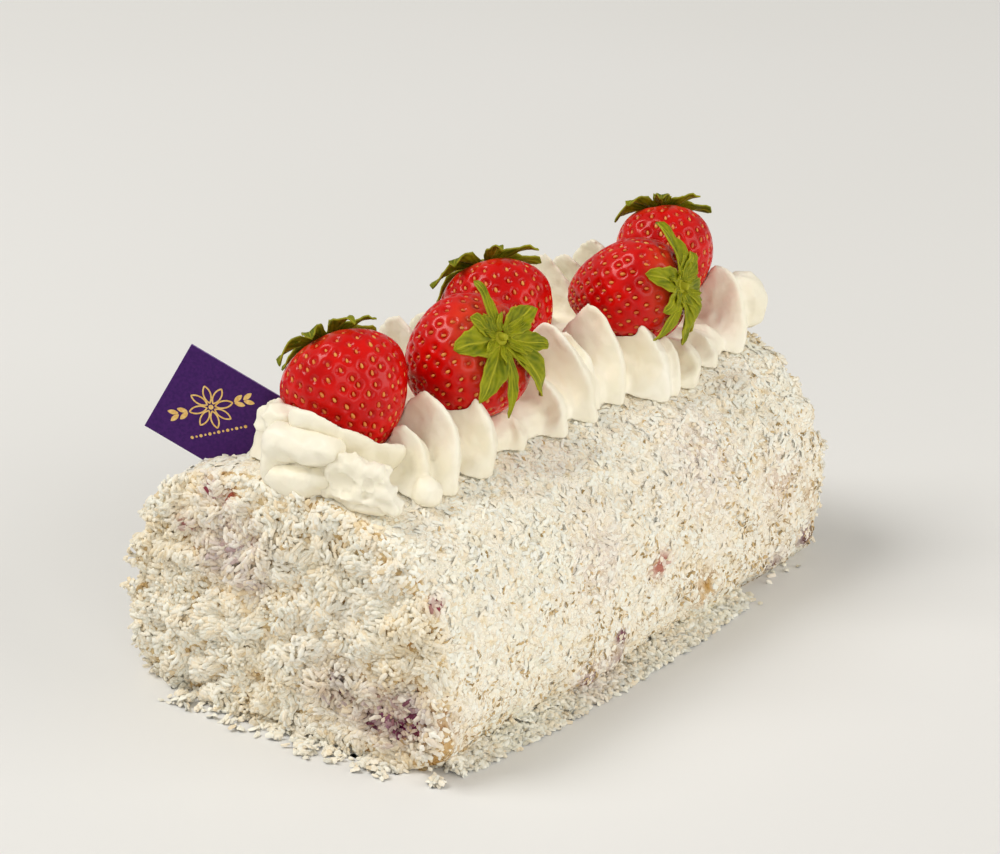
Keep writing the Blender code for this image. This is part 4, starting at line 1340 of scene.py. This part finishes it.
def addFoilShape(bm, outline, line=0):
    # foil inside an outline given on the card's face, or only a line of this width along it
    made = bmesh.ops.create_circle(bm, cap_ends=True, segments=len(outline), radius=1)["verts"]
    face = made[0].link_faces[0]
    for vertex, place in zip(face.verts[:], outline):
        vertex.co = Vector((place[0], 0, place[1]))
    face.normal_update()
    if line:
        bmesh.ops.inset_region(bm, faces=[face], thickness=line, use_boundary=True, use_even_offset=True)
        bmesh.ops.delete(bm, geom=[face], context="FACES")


def ellipseOutline(centre, along, across, turn, segments=28, pointed=0.0):
    places = []
    for at in range(segments):
        angle = at * math.tau / segments
        thin = 1 - pointed * abs(math.cos(angle)) ** 3
        place = Vector((along * math.cos(angle), across * math.sin(angle) * thin))
        places.append(centre + Matrix.Rotation(turn, 2) @ place)
    return places


def makeOrnament():
    # a rosette between two leaf sprigs, over a row of beads
    bm = bmesh.new()
    level = math.radians(45)
    sideways = Vector((math.cos(level), math.sin(level)))
    upright = Vector((-math.sin(level), math.cos(level)))
    heart = upright * ornament["rise"] * mm
    petals, leaves, beads = ornament["petals"], ornament["leaves"], ornament["beads"]
    for at in range(petals["count"]):
        turn = level + at * math.tau / petals["count"]
        middle = heart + Vector((math.cos(turn), math.sin(turn))) * petals["out"] * mm
        outline = ellipseOutline(middle, petals["along"] * mm, petals["across"] * mm, turn, pointed=0.4)
        addFoilShape(bm, outline, petals["line"] * mm)
    addFoilShape(bm, ellipseOutline(heart, ornament["heart"] * mm, ornament["heart"] * mm, 0))
    for side in (-1, 1):
        for out, lean in zip(leaves["out"], leaves["lean"]):
            for way in (1, -1):
                middle = heart + (sideways * side * out + upright * way * leaves["up"]) * mm
                turn = level + side * way * lean
                addFoilShape(bm, ellipseOutline(
                    middle, leaves["along"] * mm, leaves["across"] * mm, turn, pointed=0.5))
    for at in range(-beads["each"], beads["each"] + 1):
        middle = heart + (sideways * at * beads["step"] - upright * beads["down"]) * mm
        size = beads["small" if at % 2 else "large"] * mm
        addFoilShape(bm, ellipseOutline(middle, size, size, level, segments=10))
    bmesh.ops.recalc_face_normals(bm, faces=bm.faces[:])
    bmesh.ops.solidify(bm, geom=bm.faces[:], thickness=card["foilHeight"])
    bmesh.ops.recalc_face_normals(bm, faces=bm.faces[:])
    lowest = max(vertex.co.y for vertex in bm.verts)
    lift = (0, -card["thickness"] / 2 - lowest + card["foilGap"], 0)
    bmesh.ops.translate(bm, verts=bm.verts[:], vec=lift)
    bm.transform(cardPlace())
    present(pieceFrom(bm, "goldOrnament", foilMaterial(), smooth=False), "printed_card")


makeCard()
makeOrnament()
print("card made")
